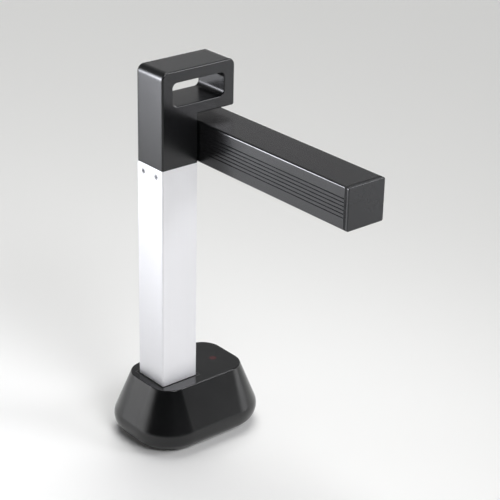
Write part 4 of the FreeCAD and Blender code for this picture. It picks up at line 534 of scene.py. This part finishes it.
def clearPart(name, v):
    made, tree = newMaterial(name)
    place = addNode(tree, "TexCoord").outputs["Object"]
    smear = addNode(tree, "TexNoise", {"Vector": place, "Scale": 1 / v["smearWidth"], "Detail": 3})
    gloss = addNode(tree, "MapRange", {
        "Value": smear.outputs[0], "From Min": smearValues["start"], "From Max": smearValues["full"],
        "To Min": v["roughness"], "To Max": v["roughness"] + v["smear"]})
    tone = addNode(tree, "Mix", {
        0: smear.outputs[0], 6: hexToLinear(v["colour"]), 7: hexToLinear(v["otherColour"])}, data_type="RGBA")
    showShader(tree, addNode(tree, "BsdfPrincipled", {
        "Base Color": tone.outputs[2], "Roughness": gloss.outputs[0], "IOR": v["ior"],
        "Transmission Weight": v["transmission"], "Coat Weight": v["coat"],
        "Coat Roughness": smearValues["coatRoughness"],
        "Coat Tint": hexToLinear(v["coatColour"])}))
    return made


# float glass window: clear, with a faint green edge
windowValues = {
    "colour": "#e9f2ee", "otherColour": "#f4f7f6", "roughness": .01, "smear": .03, "smearWidth": .006,
    "ior": 1.52, "transmission": 1, "coat": 0, "coatColour": "#ffffff",
}
dress(clearPart("floatGlass", windowValues), "window_glass")

# moulded lens with an anti-reflection coating: dark, with a violet glance
lensValues = {
    "colour": "#8f88b8", "otherColour": "#7f7ab0", "roughness": .01, "smear": .01, "smearWidth": .003,
    "ior": 1.6, "transmission": .85, "coat": .6, "coatColour": "#b9a2ff",
}
dress(clearPart("coatedLens", lensValues), "lens_glass")

# silicon die under cover glass: dark green with a shine
sensorValues = {
    "colour": "#16241e", "otherColour": "#1b2f2a", "roughness": .05, "smear": .03, "smearWidth": .002,
    "ior": 1.52, "transmission": 0, "coat": 1, "coatColour": "#c9ffe9",
}
dress(clearPart("coveredSilicon", sensorValues), "image_sensor")

# red-tinted polycarbonate light guide flush with the base: almost black until it is lit
markValues = {
    "colour": "#3c1518", "otherColour": "#471a1c", "roughness": .14, "smear": .05, "smearWidth": .004,
    "ior": 1.585, "transmission": .1, "coat": 0, "coatColour": "#ffffff",
}
dress(clearPart("tintedGuide", markValues), "touch_mark")


# Opal polycarbonate: milky, so the row of lamps behind it shows as one soft strip. Fine prisms run across it.
def opalStrip(name, v):
    made, tree = newMaterial(name)
    place = addNode(tree, "TexCoord").outputs["Object"]
    prisms = addNode(tree, "TexWave", {"Vector": place, "Scale": .5 / v["prismPitch"]},
                     bands_direction="Y", wave_profile="TRI")
    bump = addNode(tree, "Bump", {
        "Height": prisms.outputs["Fac"], "Strength": v["prismStrength"], "Distance": v["prismDepth"]})
    haze = addNode(tree, "TexNoise", {"Vector": place, "Scale": 1 / v["hazeWidth"], "Detail": 2})
    tone = addNode(tree, "Mix", {
        0: haze.outputs[0], 6: hexToLinear(v["colour"]), 7: hexToLinear(v["otherColour"])}, data_type="RGBA")
    showShader(tree, addNode(tree, "BsdfPrincipled", {
        "Base Color": tone.outputs[2], "Roughness": v["roughness"], "IOR": v["ior"],
        "Transmission Weight": v["transmission"], "Subsurface Weight": v["milk"],
        "Subsurface Radius": [v["milkDepth"]] * 3, "Subsurface Scale": 1, "Normal": bump.outputs[0]}))
    return made


diffuserValues = {
    "colour": "#eceeed", "otherColour": "#f5f5f3", "roughness": .35, "ior": 1.585,
    "transmission": .25, "milk": .3, "milkDepth": .002, "hazeWidth": .005,
    "prismPitch": .0008,  # 0.3 mm in the real strip, drawn coarser so that it shows
    "prismDepth": .00006, "prismStrength": .4,
}
dress(opalStrip("opalPolycarbonate", diffuserValues), "light_diffuser")

# the lamps behind it: yellow phosphor under soft clear silicone
lampValues = {
    "colour": "#e8d27a", "dustColour": "#f0e2a8", "roughness": .4, "glossDrift": .05, "ior": 1.45,
    "cellWidth": .0006, "cellDepth": .00002, "cellStrength": .3, "dustWidth": .002,
}
dress(dullPolymer("phosphorSilicone", lampValues), "light_chips")
print("all nodes dressed")
